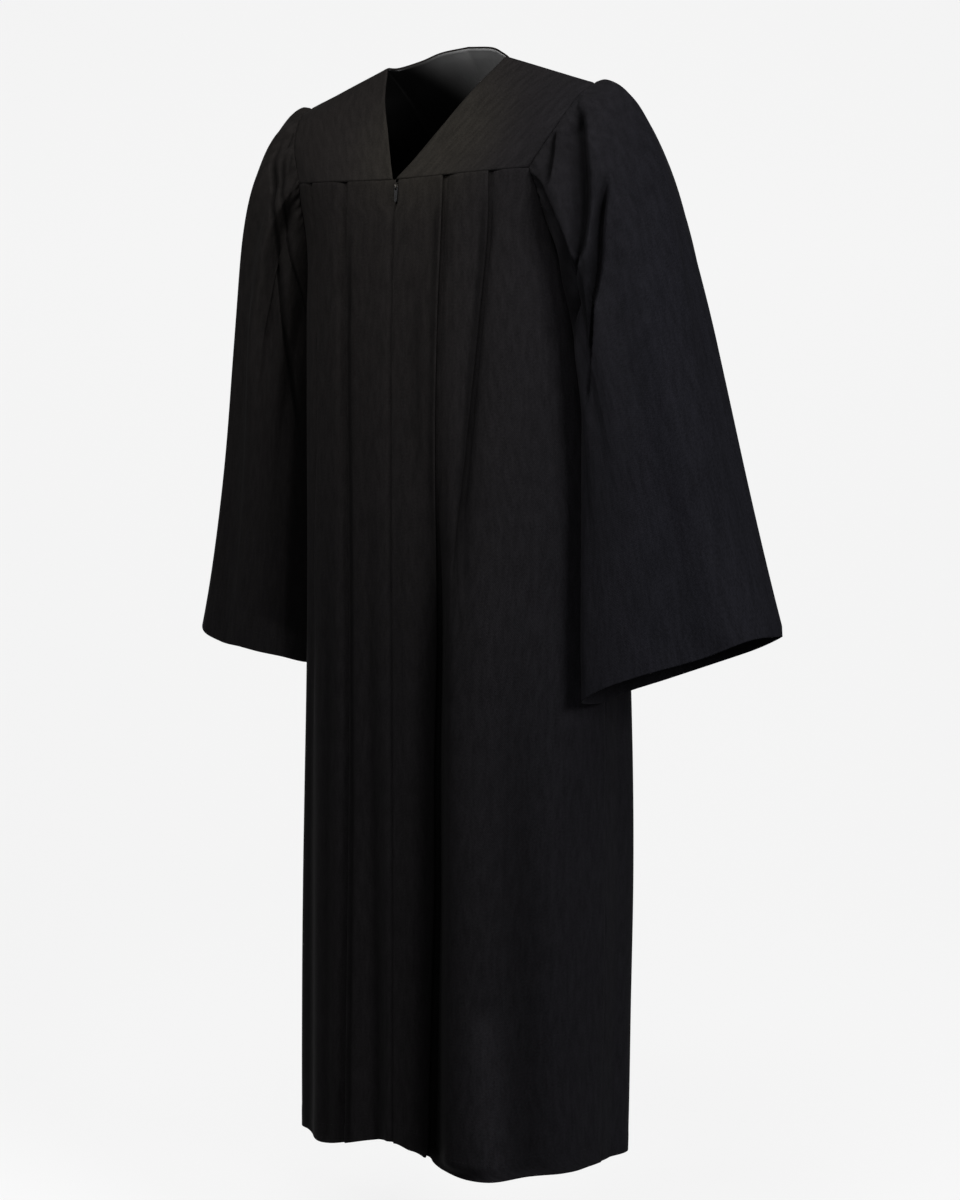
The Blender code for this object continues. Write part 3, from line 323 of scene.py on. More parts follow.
@dataclass
class BodyForm:
    """The rounded form that the gown's body hangs round: a level ring at every height."""

    sections: tuple[Section, ...] = (
        Section(-0.130, 0.1880, 0.1000, 0.118, 3.2),
        Section(-0.200, 0.1830, 0.1045, 0.133, 2.6),
        Section(-0.300, 0.1900, 0.1080, 0.150, 2.35),
        Section(-0.500, 0.1960, 0.1080, 0.165, 2.3),
        Section(-0.800, 0.2005, 0.1025, 0.171, 2.25),
        Section(-1.050, 0.2005, 0.0995, 0.167, 2.25),
        Section(-1.300, 0.1980, 0.0990, 0.158, 2.25),
    )
    foot: float = -1.290
    top: float = -0.120
    levels: int = 235
    samples: int = 1441
    reach: float = 0.62
    places: int = 1241

    def __post_init__(self) -> None:
        """Works out every ring once."""
        self.heights = np.linspace(self.foot, self.top, self.levels)
        self.place_axis = np.linspace(0, self.reach, self.places)
        read = lambda column: table_value(self.sections, "height", column, self.heights)
        self.half_width, self.power = read("half_width"), read("squareness")
        front, back = read("front"), read("back")
        self.middle, self.half_depth = (back - front) / 2, (back + front) / 2
        angles = np.linspace(0, math.pi, self.samples)
        sines, cosines = np.sin(angles), np.cos(angles)
        self.across = np.zeros((self.levels, self.places))
        self.along = np.zeros((self.levels, self.places))
        self.length, self.side = np.zeros(self.levels), np.zeros(self.levels)
        for level in range(self.levels):
            curve = 2 / self.power[level]
            across = self.half_width[level] * np.abs(sines) ** curve
            along = self.middle[level] - self.half_depth[level] * np.sign(cosines) * np.abs(cosines) ** curve
            run = np.concatenate([[0], np.cumsum(np.hypot(np.diff(across), np.diff(along)))])
            self.length[level] = run[-1]
            self.side[level] = np.interp(math.pi / 2, angles, run)
            self.across[level] = np.interp(self.place_axis, run, across)
            self.across[level] -= np.maximum(0, self.place_axis - run[-1])
            self.along[level] = np.interp(self.place_axis, run, along)

    def ring(self, height: float) -> tuple[Array, Array]:
        """X and Y of the ring at one height, at each place of the place axis."""
        row = np.clip((height - self.foot) / (self.top - self.foot), 0, 1) * (self.levels - 1)
        low = min(int(row), self.levels - 2)
        share = row - low
        return (
            self.across[low] * (1 - share) + self.across[low + 1] * share,
            self.along[low] * (1 - share) + self.along[low + 1] * share,
        )

    def place_of_x(self, height: float, across: float) -> float:
        """Distance from the front centre at which the front of the ring has this X."""
        xs, _ = self.ring(height)
        widest = int(np.argmax(xs))
        return float(np.interp(across, xs[: widest + 1], self.place_axis[: widest + 1]))

    def place_of_y(self, height: float, along: float) -> float:
        """Distance from the front centre at which the ring has this Y."""
        _, ys = self.ring(height)
        return float(np.interp(along, ys, self.place_axis))

    def side_place(self, height: float) -> float:
        """Distance from the front centre to the side."""
        return float(np.interp(height, self.heights, self.side))

    def half_round(self, height: float) -> float:
        """Distance from the front centre to the back centre."""
        return float(np.interp(height, self.heights, self.length))

    def point(self, place: Array, height: Array, depth: Array) -> Array:
        """Points of the form, sunk inwards.

        Args:
            place: Distances from the front centre. Negative ones lie on the other side.
            height: Heights.
            depth: How far inwards each point lies.

        Returns:
            The points, with X, Y and Z on the last axis.
        """
        place, height, depth = np.broadcast_arrays(place, height, depth)
        side = np.where(place < 0, -1.0, 1.0)
        row = np.clip((height - self.foot) / (self.top - self.foot), 0, 1) * (self.levels - 1)
        column = np.clip(np.abs(place) / self.reach, 0, 1) * (self.places - 1)
        i = np.minimum(row.astype(int), self.levels - 2)
        j = np.minimum(column.astype(int), self.places - 2)
        u, v = row - i, column - j
        read = lambda table: (table[i, j] * (1 - v) + table[i, j + 1] * v) * (1 - u) + (
            table[i + 1, j] * (1 - v) + table[i + 1, j + 1] * v
        ) * u
        across, along = read(self.across), read(self.along)
        level = lambda values: np.interp(height, self.heights, values)
        half_width, half_depth, power = level(self.half_width), level(self.half_depth), level(self.power)
        lean = along - level(self.middle)
        out = unit(
            np.stack(
                [
                    (np.abs(across) / half_width) ** (power - 1) / half_width * np.sign(across),
                    (np.abs(lean) / half_depth) ** (power - 1) / half_depth * np.sign(lean),
                ],
                axis=-1,
            )
        )
        return np.stack([side * (across - out[..., 0] * depth), along - out[..., 1] * depth, height], axis=-1)

    def outward(self, place: float, height: float) -> Array:
        """The level direction out of the form at a place."""
        return unit(self.point(place, height, 0.0) - self.point(place, height, 0.001))


def linear(code: str) -> tuple[float, float, float, float]:
    """An sRGB hex colour as linear red, green, blue and an alpha of one."""
    parts = [int(code.lstrip("#")[at : at + 2], 16) / 255 for at in (0, 2, 4)]
    red, green, blue = (p / 12.92 if p <= 0.04045 else ((p + 0.055) / 1.055) ** 2.4 for p in parts)
    return (red, green, blue, 1.0)


def add_node(
    tree: bpy.types.NodeTree, kind: str, inputs: dict[str | int, Any] | None = None, **settings: Any
) -> bpy.types.Node:
    """Adds a node with its settings, values and links.

    Args:
        tree: The tree it goes in.
        kind: Blender's name of the node type.
        inputs: A value, or a socket to link from, for each named or numbered input.
        settings: Properties of the node.

    Returns:
        The node.
    """
    made = tree.nodes.new(kind)
    for name, value in settings.items():
        setattr(made, name, value)
    for key, value in (inputs or {}).items():
        if isinstance(value, bpy.types.NodeSocket):
            tree.links.new(value, made.inputs[key])
        else:
            made.inputs[key].default_value = value
    return made


def new_material(name: str) -> tuple[bpy.types.Material, bpy.types.NodeTree, bpy.types.Node]:
    """A material with an empty tree but for its shader and output."""
    material = bpy.data.materials.new(name)
    material.use_nodes = True
    tree = material.node_tree
    tree.nodes.clear()
    shader = add_node(tree, "ShaderNodeBsdfPrincipled")
    add_node(tree, "ShaderNodeOutputMaterial", {"Surface": shader.outputs[0]})
    return material, tree, shader


@dataclass(frozen=True)
class GownCloth:
    """Spun polyester in plain weave, piece-dyed black.

    It looks near black and matt, with a faint grey bloom where it turns away from the eye and a
    fine even grain of crossing threads. Its colour carries painted light: a slightly warmer, paler
    black up top and round the V, where the light is full, a darker black lower down as painted shade,
    a bluish black towards the wearer's left as painted light, and painted shade along the creases,
    with a painted highlight on one of them.
    """

    name: str = "polyester_plain_weave_piece_dyed"
    # Painted light: the full-light colour up top, the shade colour low down as painted shade, the chest colour as a
    # painted highlight round the V, and a bluish black on the wearer's left.
    full_light: str = "#1a1817"
    chest: str = "#211f1c"
    shade: str = "#131213"
    painted_cool_light: str = "#141418"
    # A real thread is about 0.3 mm: drawn four times as coarse, so that the grain shows at this distance
    thread_mm: float = 1.2
    slub_mm: float = 6.0
    roughness: float = 0.82

    def build(self) -> bpy.types.Material:
        """Makes the material."""
        material, tree, shader = new_material(self.name)
        uv = add_node(tree, "ShaderNodeUVMap", uv_map="cloth").outputs[0]
        place = add_node(tree, "ShaderNodeTexCoord").outputs["Object"]
        split = add_node(tree, "ShaderNodeSeparateXYZ", {0: uv})
        turn = math.pi / (self.thread_mm * MM)
        threads = []
        for axis in (0, 1):
            scaled = add_node(tree, "ShaderNodeMath", {0: split.outputs[axis], 1: turn}, operation="MULTIPLY")
            threads.append(add_node(tree, "ShaderNodeMath", {0: scaled.outputs[0]}, operation="SINE"))
        weave = add_node(
            tree, "ShaderNodeMath", {0: threads[0].outputs[0], 1: threads[1].outputs[0]}, operation="MULTIPLY"
        )
        stretched = add_node(tree, "ShaderNodeMapping", {"Vector": uv, "Scale": (1.0, 0.22, 1.0)})
        slub = add_node(
            tree,
            "ShaderNodeTexNoise",
            {"Vector": stretched.outputs[0], "Scale": 1 / (self.slub_mm * MM), "Detail": 3.0, "Roughness": 0.6},
        )
        grain = add_node(
            tree, "ShaderNodeTexNoise", {"Vector": uv, "Scale": 1 / (2.2 * MM), "Detail": 2.0, "Roughness": 0.55}
        )
        cloud = add_node(tree, "ShaderNodeTexNoise", {"Vector": place, "Scale": 1 / (90 * MM), "Detail": 2.0})
        height = add_node(tree, "ShaderNodeSeparateXYZ", {0: place})
        # Painted light and shade by height: the colour goes from the shade colour low down to the full-light colour
        # near the top.
        painted_light_by_height = add_node(
            tree, "ShaderNodeMapRange", {0: height.outputs[2], 1: -0.75, 2: -0.05, 3: 0.0, 4: 1.0}
        )
        # Painted light: a bluish black towards the wearer's left, for the bluer light on that side.
        side = add_node(tree, "ShaderNodeMapRange", {0: height.outputs[0], 1: 0.05, 2: 0.30, 3: 0.0, 4: 1.0})
        lit = add_node(
            tree,
            "ShaderNodeMix",
            {0: painted_light_by_height.outputs[0], 6: linear(self.shade), 7: linear(self.full_light)},
            data_type="RGBA",
        )
        with_painted_cool_light = add_node(
            tree,
            "ShaderNodeMix",
            {0: side.outputs[0], 6: lit.outputs[2], 7: linear(self.painted_cool_light)},
            data_type="RGBA",
        )
        # Painted highlight: a paler, warmer black round a point just below the V.
        from_v = add_node(
            tree, "ShaderNodeVectorMath", {0: place, 1: (0.025, -0.080, -0.085)}, operation="DISTANCE"
        )
        glow = add_node(
            tree,
            "ShaderNodeMapRange",
            {0: from_v.outputs["Value"], 1: 0.035, 2: 0.135, 3: 1.0, 4: 0.0},
            interpolation_type="SMOOTHSTEP",
        )
        with_painted_highlight = add_node(
            tree,
            "ShaderNodeMix",
            {0: glow.outputs[0], 6: with_painted_cool_light.outputs[2], 7: linear(self.chest)},
            data_type="RGBA",
        )
        uneven = add_node(
            tree, "ShaderNodeMath", {0: grain.outputs[0], 1: slub.outputs[0]}, operation="ADD"
        )
        value = add_node(tree, "ShaderNodeMapRange", {0: uneven.outputs[0], 1: 0.75, 2: 1.25, 3: 0.72, 4: 1.28})
        soft = add_node(tree, "ShaderNodeMapRange", {0: cloud.outputs[0], 1: 0.3, 2: 0.7, 3: 0.95, 4: 1.05})
        both = add_node(tree, "ShaderNodeMath", {0: value.outputs[0], 1: soft.outputs[0]}, operation="MULTIPLY")
        # Painted shade along the creases, from the fold_shade attribute, darkens the colour; where a crease's shade is
        # negative, it lightens it as a painted highlight.
        folded = add_node(tree, "ShaderNodeAttribute", attribute_name="fold_shade").outputs["Fac"]
        painted_crease_shade = add_node(tree, "ShaderNodeMath", {0: folded, 1: -1.0, 2: 1.0}, operation="MULTIPLY_ADD")
        shaded = add_node(tree, "ShaderNodeMath", {0: both.outputs[0], 1: painted_crease_shade.outputs[0]}, operation="MULTIPLY")
        colour = add_node(
            tree, "ShaderNodeHueSaturation", {"Value": shaded.outputs[0], "Color": with_painted_highlight.outputs[2]}
        )
        tree.links.new(colour.outputs[0], shader.inputs["Base Color"])
        raised = add_node(
            tree, "ShaderNodeMath", {0: slub.outputs[0], 1: 1.6, 2: weave.outputs[0]}, operation="MULTIPLY_ADD"
        )
        relief = add_node(
            tree, "ShaderNodeBump", {"Strength": 0.35, "Distance": 0.00012, "Height": raised.outputs[0]}
        )
        tree.links.new(relief.outputs[0], shader.inputs["Normal"])
        shader.inputs["Roughness"].default_value = self.roughness
        shader.inputs["Specular IOR Level"].default_value = 0.03
        shader.inputs["Sheen Weight"].default_value = 0.004
        shader.inputs["Sheen Roughness"].default_value = 0.45
        return material


@dataclass(frozen=True)
class SatinLining:
    """Polyester satin, calendered smooth.

    Its colour is painted light: a soft broad painted shine that fades from grey at the rim to black in the neck, as
    painted shade, over the satin's own gloss.
    """

    name: str = "polyester_satin_calendered"
    # Painted shine at the rim and painted shade in the hollow of the neck.
    rim: str = "#848484"
    hollow: str = "#030303"
    thread_mm: float = 0.9
    roughness: float = 0.34

    def build(self) -> bpy.types.Material:
        """Makes the material."""
        material, tree, shader = new_material(self.name)
        uv = add_node(tree, "ShaderNodeUVMap", uv_map="cloth").outputs[0]
        stretched = add_node(tree, "ShaderNodeMapping", {"Vector": uv, "Scale": (1.0, 0.08, 1.0)})
        floats = add_node(
            tree,
            "ShaderNodeTexNoise",
            {"Vector": stretched.outputs[0], "Scale": 1 / (self.thread_mm * MM), "Detail": 2.0},
        )
        value = add_node(tree, "ShaderNodeMapRange", {0: floats.outputs[0], 1: 0.3, 2: 0.7, 3: 0.92, 4: 1.08})
        place = add_node(tree, "ShaderNodeTexCoord").outputs["Object"]
        split = add_node(tree, "ShaderNodeSeparateXYZ", {0: place})
        # Painted shine and shade: the colour fades from the rim's grey, high up and towards the wearer's left, to black
        # lower down and to the right.
        slant = add_node(
            tree, "ShaderNodeMath", {0: split.outputs[0], 1: 1.0, 2: split.outputs[2]}, operation="MULTIPLY_ADD"
        )
        near = add_node(
            tree,
            "ShaderNodeMapRange",
            {0: slant.outputs[0], 1: -0.080, 2: 0.090, 3: 0.0, 4: 1.0},
            interpolation_type="SMOOTHSTEP",
        )
        shine = add_node(
            tree,
            "ShaderNodeMix",
            {0: near.outputs[0], 6: linear(self.hollow), 7: linear(self.rim)},
            data_type="RGBA",
        )
        colour = add_node(
            tree, "ShaderNodeHueSaturation", {"Value": value.outputs[0], "Color": shine.outputs[2]}
        )
        tree.links.new(colour.outputs[0], shader.inputs["Base Color"])
        relief = add_node(
            tree, "ShaderNodeBump", {"Strength": 0.2, "Distance": 0.00005, "Height": floats.outputs[0]}
        )
        tree.links.new(relief.outputs[0], shader.inputs["Normal"])
        shader.inputs["Roughness"].default_value = self.roughness
        shader.inputs["Specular IOR Level"].default_value = 0.12
        shader.inputs["Sheen Weight"].default_value = 0.01
        return material


@dataclass(frozen=True)
class ZipTape:
    """Woven polyester zip tape, dyed black: a close herringbone, duller than the gown."""

    name: str = "polyester_zip_tape_woven"
    colour: str = "#191919"
    rib_mm: float = 1.0

    def build(self) -> bpy.types.Material:
        """Makes the material."""
        material, tree, shader = new_material(self.name)
        uv = add_node(tree, "ShaderNodeUVMap", uv_map="cloth").outputs[0]
        ribs = add_node(
            tree,
            "ShaderNodeTexWave",
            {"Vector": uv, "Scale": 2 * math.pi / (20 * self.rib_mm * MM), "Distortion": 0.6},
            bands_direction="DIAGONAL",
        )
        value = add_node(tree, "ShaderNodeMapRange", {0: ribs.outputs[1], 3: 0.85, 4: 1.15})
        colour = add_node(
            tree, "ShaderNodeHueSaturation", {"Value": value.outputs[0], "Color": linear(self.colour)}
        )
        tree.links.new(colour.outputs[0], shader.inputs["Base Color"])
        relief = add_node(
            tree, "ShaderNodeBump", {"Strength": 0.5, "Distance": 0.0001, "Height": ribs.outputs[1]}
        )
        tree.links.new(relief.outputs[0], shader.inputs["Normal"])
        shader.inputs["Roughness"].default_value = 0.85
        return material


@dataclass(frozen=True)
class SewingThread:
    """Spun polyester sewing thread, black: a little glossier than the cloth, so stitches just show."""

    name: str = "polyester_thread_spun"
    colour: str = "#121213"
    ply_mm: float = 0.25

    def build(self) -> bpy.types.Material:
        """Makes the material."""
        material, tree, shader = new_material(self.name)
        place = add_node(tree, "ShaderNodeTexCoord").outputs["Object"]
        fuzz = add_node(
            tree, "ShaderNodeTexNoise", {"Vector": place, "Scale": 1 / (self.ply_mm * MM), "Detail": 1.0}
        )
        value = add_node(tree, "ShaderNodeMapRange", {0: fuzz.outputs[0], 3: 0.8, 4: 1.2})
        colour = add_node(
            tree, "ShaderNodeHueSaturation", {"Value": value.outputs[0], "Color": linear(self.colour)}
        )
        tree.links.new(colour.outputs[0], shader.inputs["Base Color"])
        shader.inputs["Roughness"].default_value = 0.75
        shader.inputs["Specular IOR Level"].default_value = 0.1
        return material


@dataclass(frozen=True)
class CoilNylon:
    """Nylon zip coil, moulded black: smooth, with a small sharp shine on each tooth."""

    name: str = "nylon_coil_moulded"
    colour: str = "#151515"

    def build(self) -> bpy.types.Material:
        """Makes the material."""
        material, tree, shader = new_material(self.name)
        place = add_node(tree, "ShaderNodeTexCoord").outputs["Object"]
        scuff = add_node(tree, "ShaderNodeTexNoise", {"Vector": place, "Scale": 1 / (3 * MM), "Detail": 2.0})
        gloss = add_node(tree, "ShaderNodeMapRange", {0: scuff.outputs[0], 3: 0.28, 4: 0.45})
        tree.links.new(gloss.outputs[0], shader.inputs["Roughness"])
        shader.inputs["Base Color"].default_value = linear(self.colour)
        return material


@dataclass(frozen=True)
class NickelPlate:
    """Zinc die casting, barrel plated with nickel: a small bright metal with worn, softened edges."""

    name: str = "zinc_die_cast_nickel_plated"
    bright: str = "#6f6b66"
    worn: str = "#55524d"
    wear_mm: float = 1.2

    def build(self) -> bpy.types.Material:
        """Makes the material."""
        material, tree, shader = new_material(self.name)
        place = add_node(tree, "ShaderNodeTexCoord").outputs["Object"]
        rub = add_node(
            tree, "ShaderNodeTexNoise", {"Vector": place, "Scale": 1 / (self.wear_mm * MM), "Detail": 4.0}
        )
        colour = add_node(
            tree,
            "ShaderNodeMix",
            {0: rub.outputs[0], 6: linear(self.bright), 7: linear(self.worn)},
            data_type="RGBA",
        )
        gloss = add_node(tree, "ShaderNodeMapRange", {0: rub.outputs[0], 3: 0.18, 4: 0.40})
        tree.links.new(colour.outputs[2], shader.inputs["Base Color"])
        tree.links.new(gloss.outputs[0], shader.inputs["Roughness"])
        shader.inputs["Metallic"].default_value = 1.0
        return material


@dataclass(frozen=True)
class BlackEnamel:
    """Stoving enamel on zinc, sprayed: a smooth black skin with a soft even shine."""

    name: str = "zinc_stove_enamelled_black"
    colour: str = "#1b1b1c"
    peel_mm: float = 0.8

    def build(self) -> bpy.types.Material:
        """Makes the material."""
        material, tree, shader = new_material(self.name)
        place = add_node(tree, "ShaderNodeTexCoord").outputs["Object"]
        peel = add_node(
            tree, "ShaderNodeTexNoise", {"Vector": place, "Scale": 1 / (self.peel_mm * MM), "Detail": 2.0}
        )
        gloss = add_node(tree, "ShaderNodeMapRange", {0: peel.outputs[0], 3: 0.25, 4: 0.42})
        tree.links.new(gloss.outputs[0], shader.inputs["Roughness"])
        shader.inputs["Base Color"].default_value = linear(self.colour)
        shader.inputs["Specular IOR Level"].default_value = 0.25
        return material


@dataclass(frozen=True)
class StudioPaper:
    """Seamless background paper, matt and pale. It glows by itself as painted light, brightest behind the gown, with
    painted shade in its glow before it.
    """

    name: str = "paper_seamless_background"
    colour: str = "#6c6c6c"
    unlit: str = "#303030"
    glow: float = 5.6

    def build(self) -> bpy.types.Material:
        """Makes the material."""
        material, tree, shader = new_material(self.name)
        place = add_node(tree, "ShaderNodeTexCoord").outputs["Object"]
        fibre = add_node(tree, "ShaderNodeTexNoise", {"Vector": place, "Scale": 40.0, "Detail": 2.0})
        value = add_node(tree, "ShaderNodeMapRange", {0: fibre.outputs[0], 3: 0.995, 4: 1.005})
        colour = add_node(
            tree, "ShaderNodeHueSaturation", {"Value": value.outputs[0], "Color": linear(self.colour)}
        )
        tree.links.new(colour.outputs[0], shader.inputs["Base Color"])
        # Painted light and shade: the glow is full behind the gown and darker, as painted shade, on the floor before
        # it.
        split = add_node(tree, "ShaderNodeSeparateXYZ", {0: place})
        across = add_node(tree, "ShaderNodeMath", {0: split.outputs[0], 1: -0.70}, operation="MULTIPLY")
        depth = add_node(
            tree, "ShaderNodeMath", {0: split.outputs[1], 1: 1.0, 2: across.outputs[0]}, operation="MULTIPLY_ADD"
        )
        behind = add_node(
            tree,
            "ShaderNodeMapRange",
            {0: depth.outputs[0], 1: -0.25, 2: 0.35, 3: 0.0, 4: 1.0},
            interpolation_type="SMOOTHSTEP",
        )
        light = add_node(
            tree,
            "ShaderNodeMix",
            {0: behind.outputs[0], 6: linear(self.unlit), 7: linear(self.colour)},
            data_type="RGBA",
        )
        shader.inputs["Roughness"].default_value = 1.0
        shader.inputs["Specular IOR Level"].default_value = 0.0
        tree.links.new(light.outputs[2], shader.inputs["Emission Color"])
        shader.inputs["Emission Strength"].default_value = self.glow
        return material


def mesh_piece(name: str, points: Array, quads: Array, material: bpy.types.Material, uv: Array | None) -> bpy.types.Object:
    """A piece from points and four-sided faces.

    Args:
        name: The piece's name.
        points: One row for each point.
        quads: One row of four point numbers for each face.
        material: Its finish.
        uv: Place of each point on the flat cloth, in metres.

    Returns:
        The object, linked to the scene.
    """
    mesh = bpy.data.meshes.new(name)
    mesh.vertices.add(len(points))
    mesh.vertices.foreach_set("co", np.ascontiguousarray(points, np.float32).ravel())
    mesh.loops.add(quads.size)
    mesh.loops.foreach_set("vertex_index", quads.astype(np.int32).ravel())
    mesh.polygons.add(len(quads))
    mesh.polygons.foreach_set("loop_start", np.arange(0, quads.size, 4, dtype=np.int32))
    mesh.update(calc_edges=True)
    if uv is not None:
        layer = mesh.uv_layers.new(name="cloth")
        layer.data.foreach_set("uv", uv[quads.ravel()].astype(np.float32).ravel())
    mesh.validate()
    mesh.shade_smooth()
    mesh.materials.append(material)
    piece = bpy.data.objects.new(name, mesh)
    bpy.context.scene.collection.objects.link(piece)
    return piece


@dataclass
class ClothShell:
    """A thin cloth with an outer and an inner face, as two grids of points. Rows run down."""

    name: str
    outer: Array
    inner: Array
    uv: Array
    round_columns: bool = False
    # Painted shade of each point, which darkens the cloth's colour.
    shade: Array | None = None

    def build(self, material: bpy.types.Material) -> bpy.types.Object:
        """Closes the two faces into one thin piece."""
        rows, columns = self.outer.shape[:2]
        under = rows * columns
        last = columns if self.round_columns else columns - 1
        row, column = np.meshgrid(np.arange(rows - 1), np.arange(last), indexing="ij")
        beside = (column + 1) % columns
        a, b = row * columns + column, row * columns + beside
        c, d = b + columns, a + columns
        outer = np.stack([a, d, c, b], axis=-1).reshape(-1, 4)
        inner = np.stack([a, b, c, d], axis=-1).reshape(-1, 4) + under
        walls = [outer, inner]
        edge = np.arange(last)
        beside = (edge + 1) % columns
        foot = (rows - 1) * columns
        walls.append(np.stack([edge, beside, beside + under, edge + under], axis=-1))
        walls.append(np.stack([foot + edge, foot + edge + under, foot + beside + under, foot + beside], axis=-1))
        if not self.round_columns:
            left = np.arange(rows - 1) * columns
            right = left + columns - 1
            walls.append(np.stack([left, left + under, left + columns + under, left + columns], axis=-1))
            walls.append(np.stack([right, right + columns, right + columns + under, right + under], axis=-1))
        points = np.vstack([self.outer.reshape(-1, 3), self.inner.reshape(-1, 3)])
        quads = np.vstack(walls)
        if self.volume(points, quads) < 0:
            quads = quads[:, ::-1]
        uv = np.vstack([self.uv.reshape(-1, 2), self.uv.reshape(-1, 2)])
        piece = mesh_piece(self.name, points, quads, material, uv)
        # The painted shade goes to the cloth's colour as the fold_shade attribute.
        if self.shade is not None:
            layer = piece.data.attributes.new("fold_shade", "FLOAT", "POINT")
            layer.data.foreach_set("value", np.tile(self.shade.ravel(), 2).astype(np.float32))
        return piece

    @staticmethod
    def volume(points: Array, quads: Array) -> float:
        """Six times the signed volume that the faces close."""
        a, b, c, d = (points[quads[:, corner]] for corner in range(4))
        return float(np.sum(a * np.cross(b, c)) + np.sum(a * np.cross(c, d)))


@dataclass
class RepeatAlongLine:
    """Geometry Nodes that set one small piece after another along a line."""

    shape: Shape
    material: bpy.types.Material

    def tree(self) -> bpy.types.NodeTree:
        """Builds the node tree, with its sizes as named inputs."""
        tree = bpy.data.node_groups.new(f"repeat_{self.shape.value}", "GeometryNodeTree")
        face = tree.interface
        face.new_socket("Geometry", in_out="INPUT", socket_type="NodeSocketGeometry")
        for label in ("Pitch", "Length", "Width", "Thickness"):
            face.new_socket(label, in_out="INPUT", socket_type="NodeSocketFloat")
        face.new_socket("Geometry", in_out="OUTPUT", socket_type="NodeSocketGeometry")
        start = add_node(tree, "NodeGroupInput")
        line = add_node(tree, "GeometryNodeMeshToCurve", {0: start.outputs["Geometry"]})
        spaced = add_node(
            tree,
            "GeometryNodeResampleCurve",
            {"Curve": line.outputs[0], "Length": start.outputs["Pitch"]},
            mode="LENGTH",
        )
        tangent = add_node(tree, "GeometryNodeInputTangent")
        turned = add_node(
            tree, "FunctionNodeAlignEulerToVector", {"Vector": tangent.outputs[0]}, axis="X", pivot_axis="AUTO"
        )
        size = add_node(
            tree,
            "ShaderNodeCombineXYZ",
            {0: start.outputs["Length"], 1: start.outputs["Width"], 2: start.outputs["Thickness"]},
        )
        if self.shape is Shape.STITCH:
            unit_piece = add_node(tree, "GeometryNodeMeshUVSphere", {"Segments": 5, "Rings": 3, "Radius": 0.5})
        else:
            unit_piece = add_node(tree, "GeometryNodeMeshCube", {"Size": (1.0, 1.0, 1.0)})
        placed = add_node(
            tree,
            "GeometryNodeInstanceOnPoints",
            {
                "Points": spaced.outputs[0],
                "Instance": unit_piece.outputs[0],
                "Rotation": turned.outputs[0],
                "Scale": size.outputs[0],
            },
        )
        real = add_node(tree, "GeometryNodeRealizeInstances", {0: placed.outputs[0]})
        smooth = add_node(tree, "GeometryNodeSetShadeSmooth", {0: real.outputs[0]})
        finished = add_node(tree, "GeometryNodeSetMaterial", {0: smooth.outputs[0], "Material": self.material})
        add_node(tree, "NodeGroupOutput", {0: finished.outputs[0]})
        return tree

    def along(self, name: str, lines: Sequence[Array], pitch: float, size: Point) -> bpy.types.Object:
        """Sets the pieces along lines.

        Args:
            name: The joined piece's name.
            lines: Points of each line.
            pitch: Distance from one piece to the next.
            size: Length, width and thickness of one piece.

        Returns:
            One plain mesh object with every piece.
        """
        points = np.vstack(lines)
        edges = []
        first = 0
        for line in lines:
            edges += [(at, at + 1) for at in range(first, first + len(line) - 1)]
            first += len(line)
        guide = bpy.data.meshes.new(f"{name}_line")
        guide.from_pydata([tuple(map(float, point)) for point in points], edges, [])
        holder = bpy.data.objects.new(f"{name}_line", guide)
        bpy.context.scene.collection.objects.link(holder)
        tree = self.tree()
        modifier = holder.modifiers.new("repeat", "NODES")
        values = {"Pitch": pitch, "Length": size[0], "Width": size[1], "Thickness": size[2]}
        for item in tree.interface.items_tree:
            if item.name in values and item.in_out == "INPUT":
                values[item.identifier] = values.pop(item.name)
        modifier.node_group = tree
        for identifier, value in values.items():
            modifier[identifier] = float(value)
        graph = bpy.context.evaluated_depsgraph_get()
        mesh = bpy.data.meshes.new_from_object(holder.evaluated_get(graph))
        holder.modifiers.clear()
        bpy.data.objects.remove(holder)
        mesh.name = name
        piece = bpy.data.objects.new(name, mesh)
        bpy.context.scene.collection.objects.link(piece)
        return piece


@dataclass(frozen=True)
class PleatRow:
    """A knife pleat at one height: its edge, its lap, and the hollow beyond it."""

    height: float
    edge: float
    lap: float
    hollow: float
    reach: float
    softness: float


@dataclass(frozen=True)
class Fold:
    """A large soft fold: where it lies at the seam and at the hem, its rise, half width and start."""

    top_place: float
    hem_place: float
    rise: float
    spread: float
    start: float = -0.1375


@dataclass(frozen=True)
class HemRow:
    """Height of the hem at a place across the front, wearer's right to left."""

    across: float
    height: float


@dataclass(frozen=True)
class ArmholeRow:
    """Where the armhole crosses a level, as front and back Y."""

    height: float
    front: float
    back: float


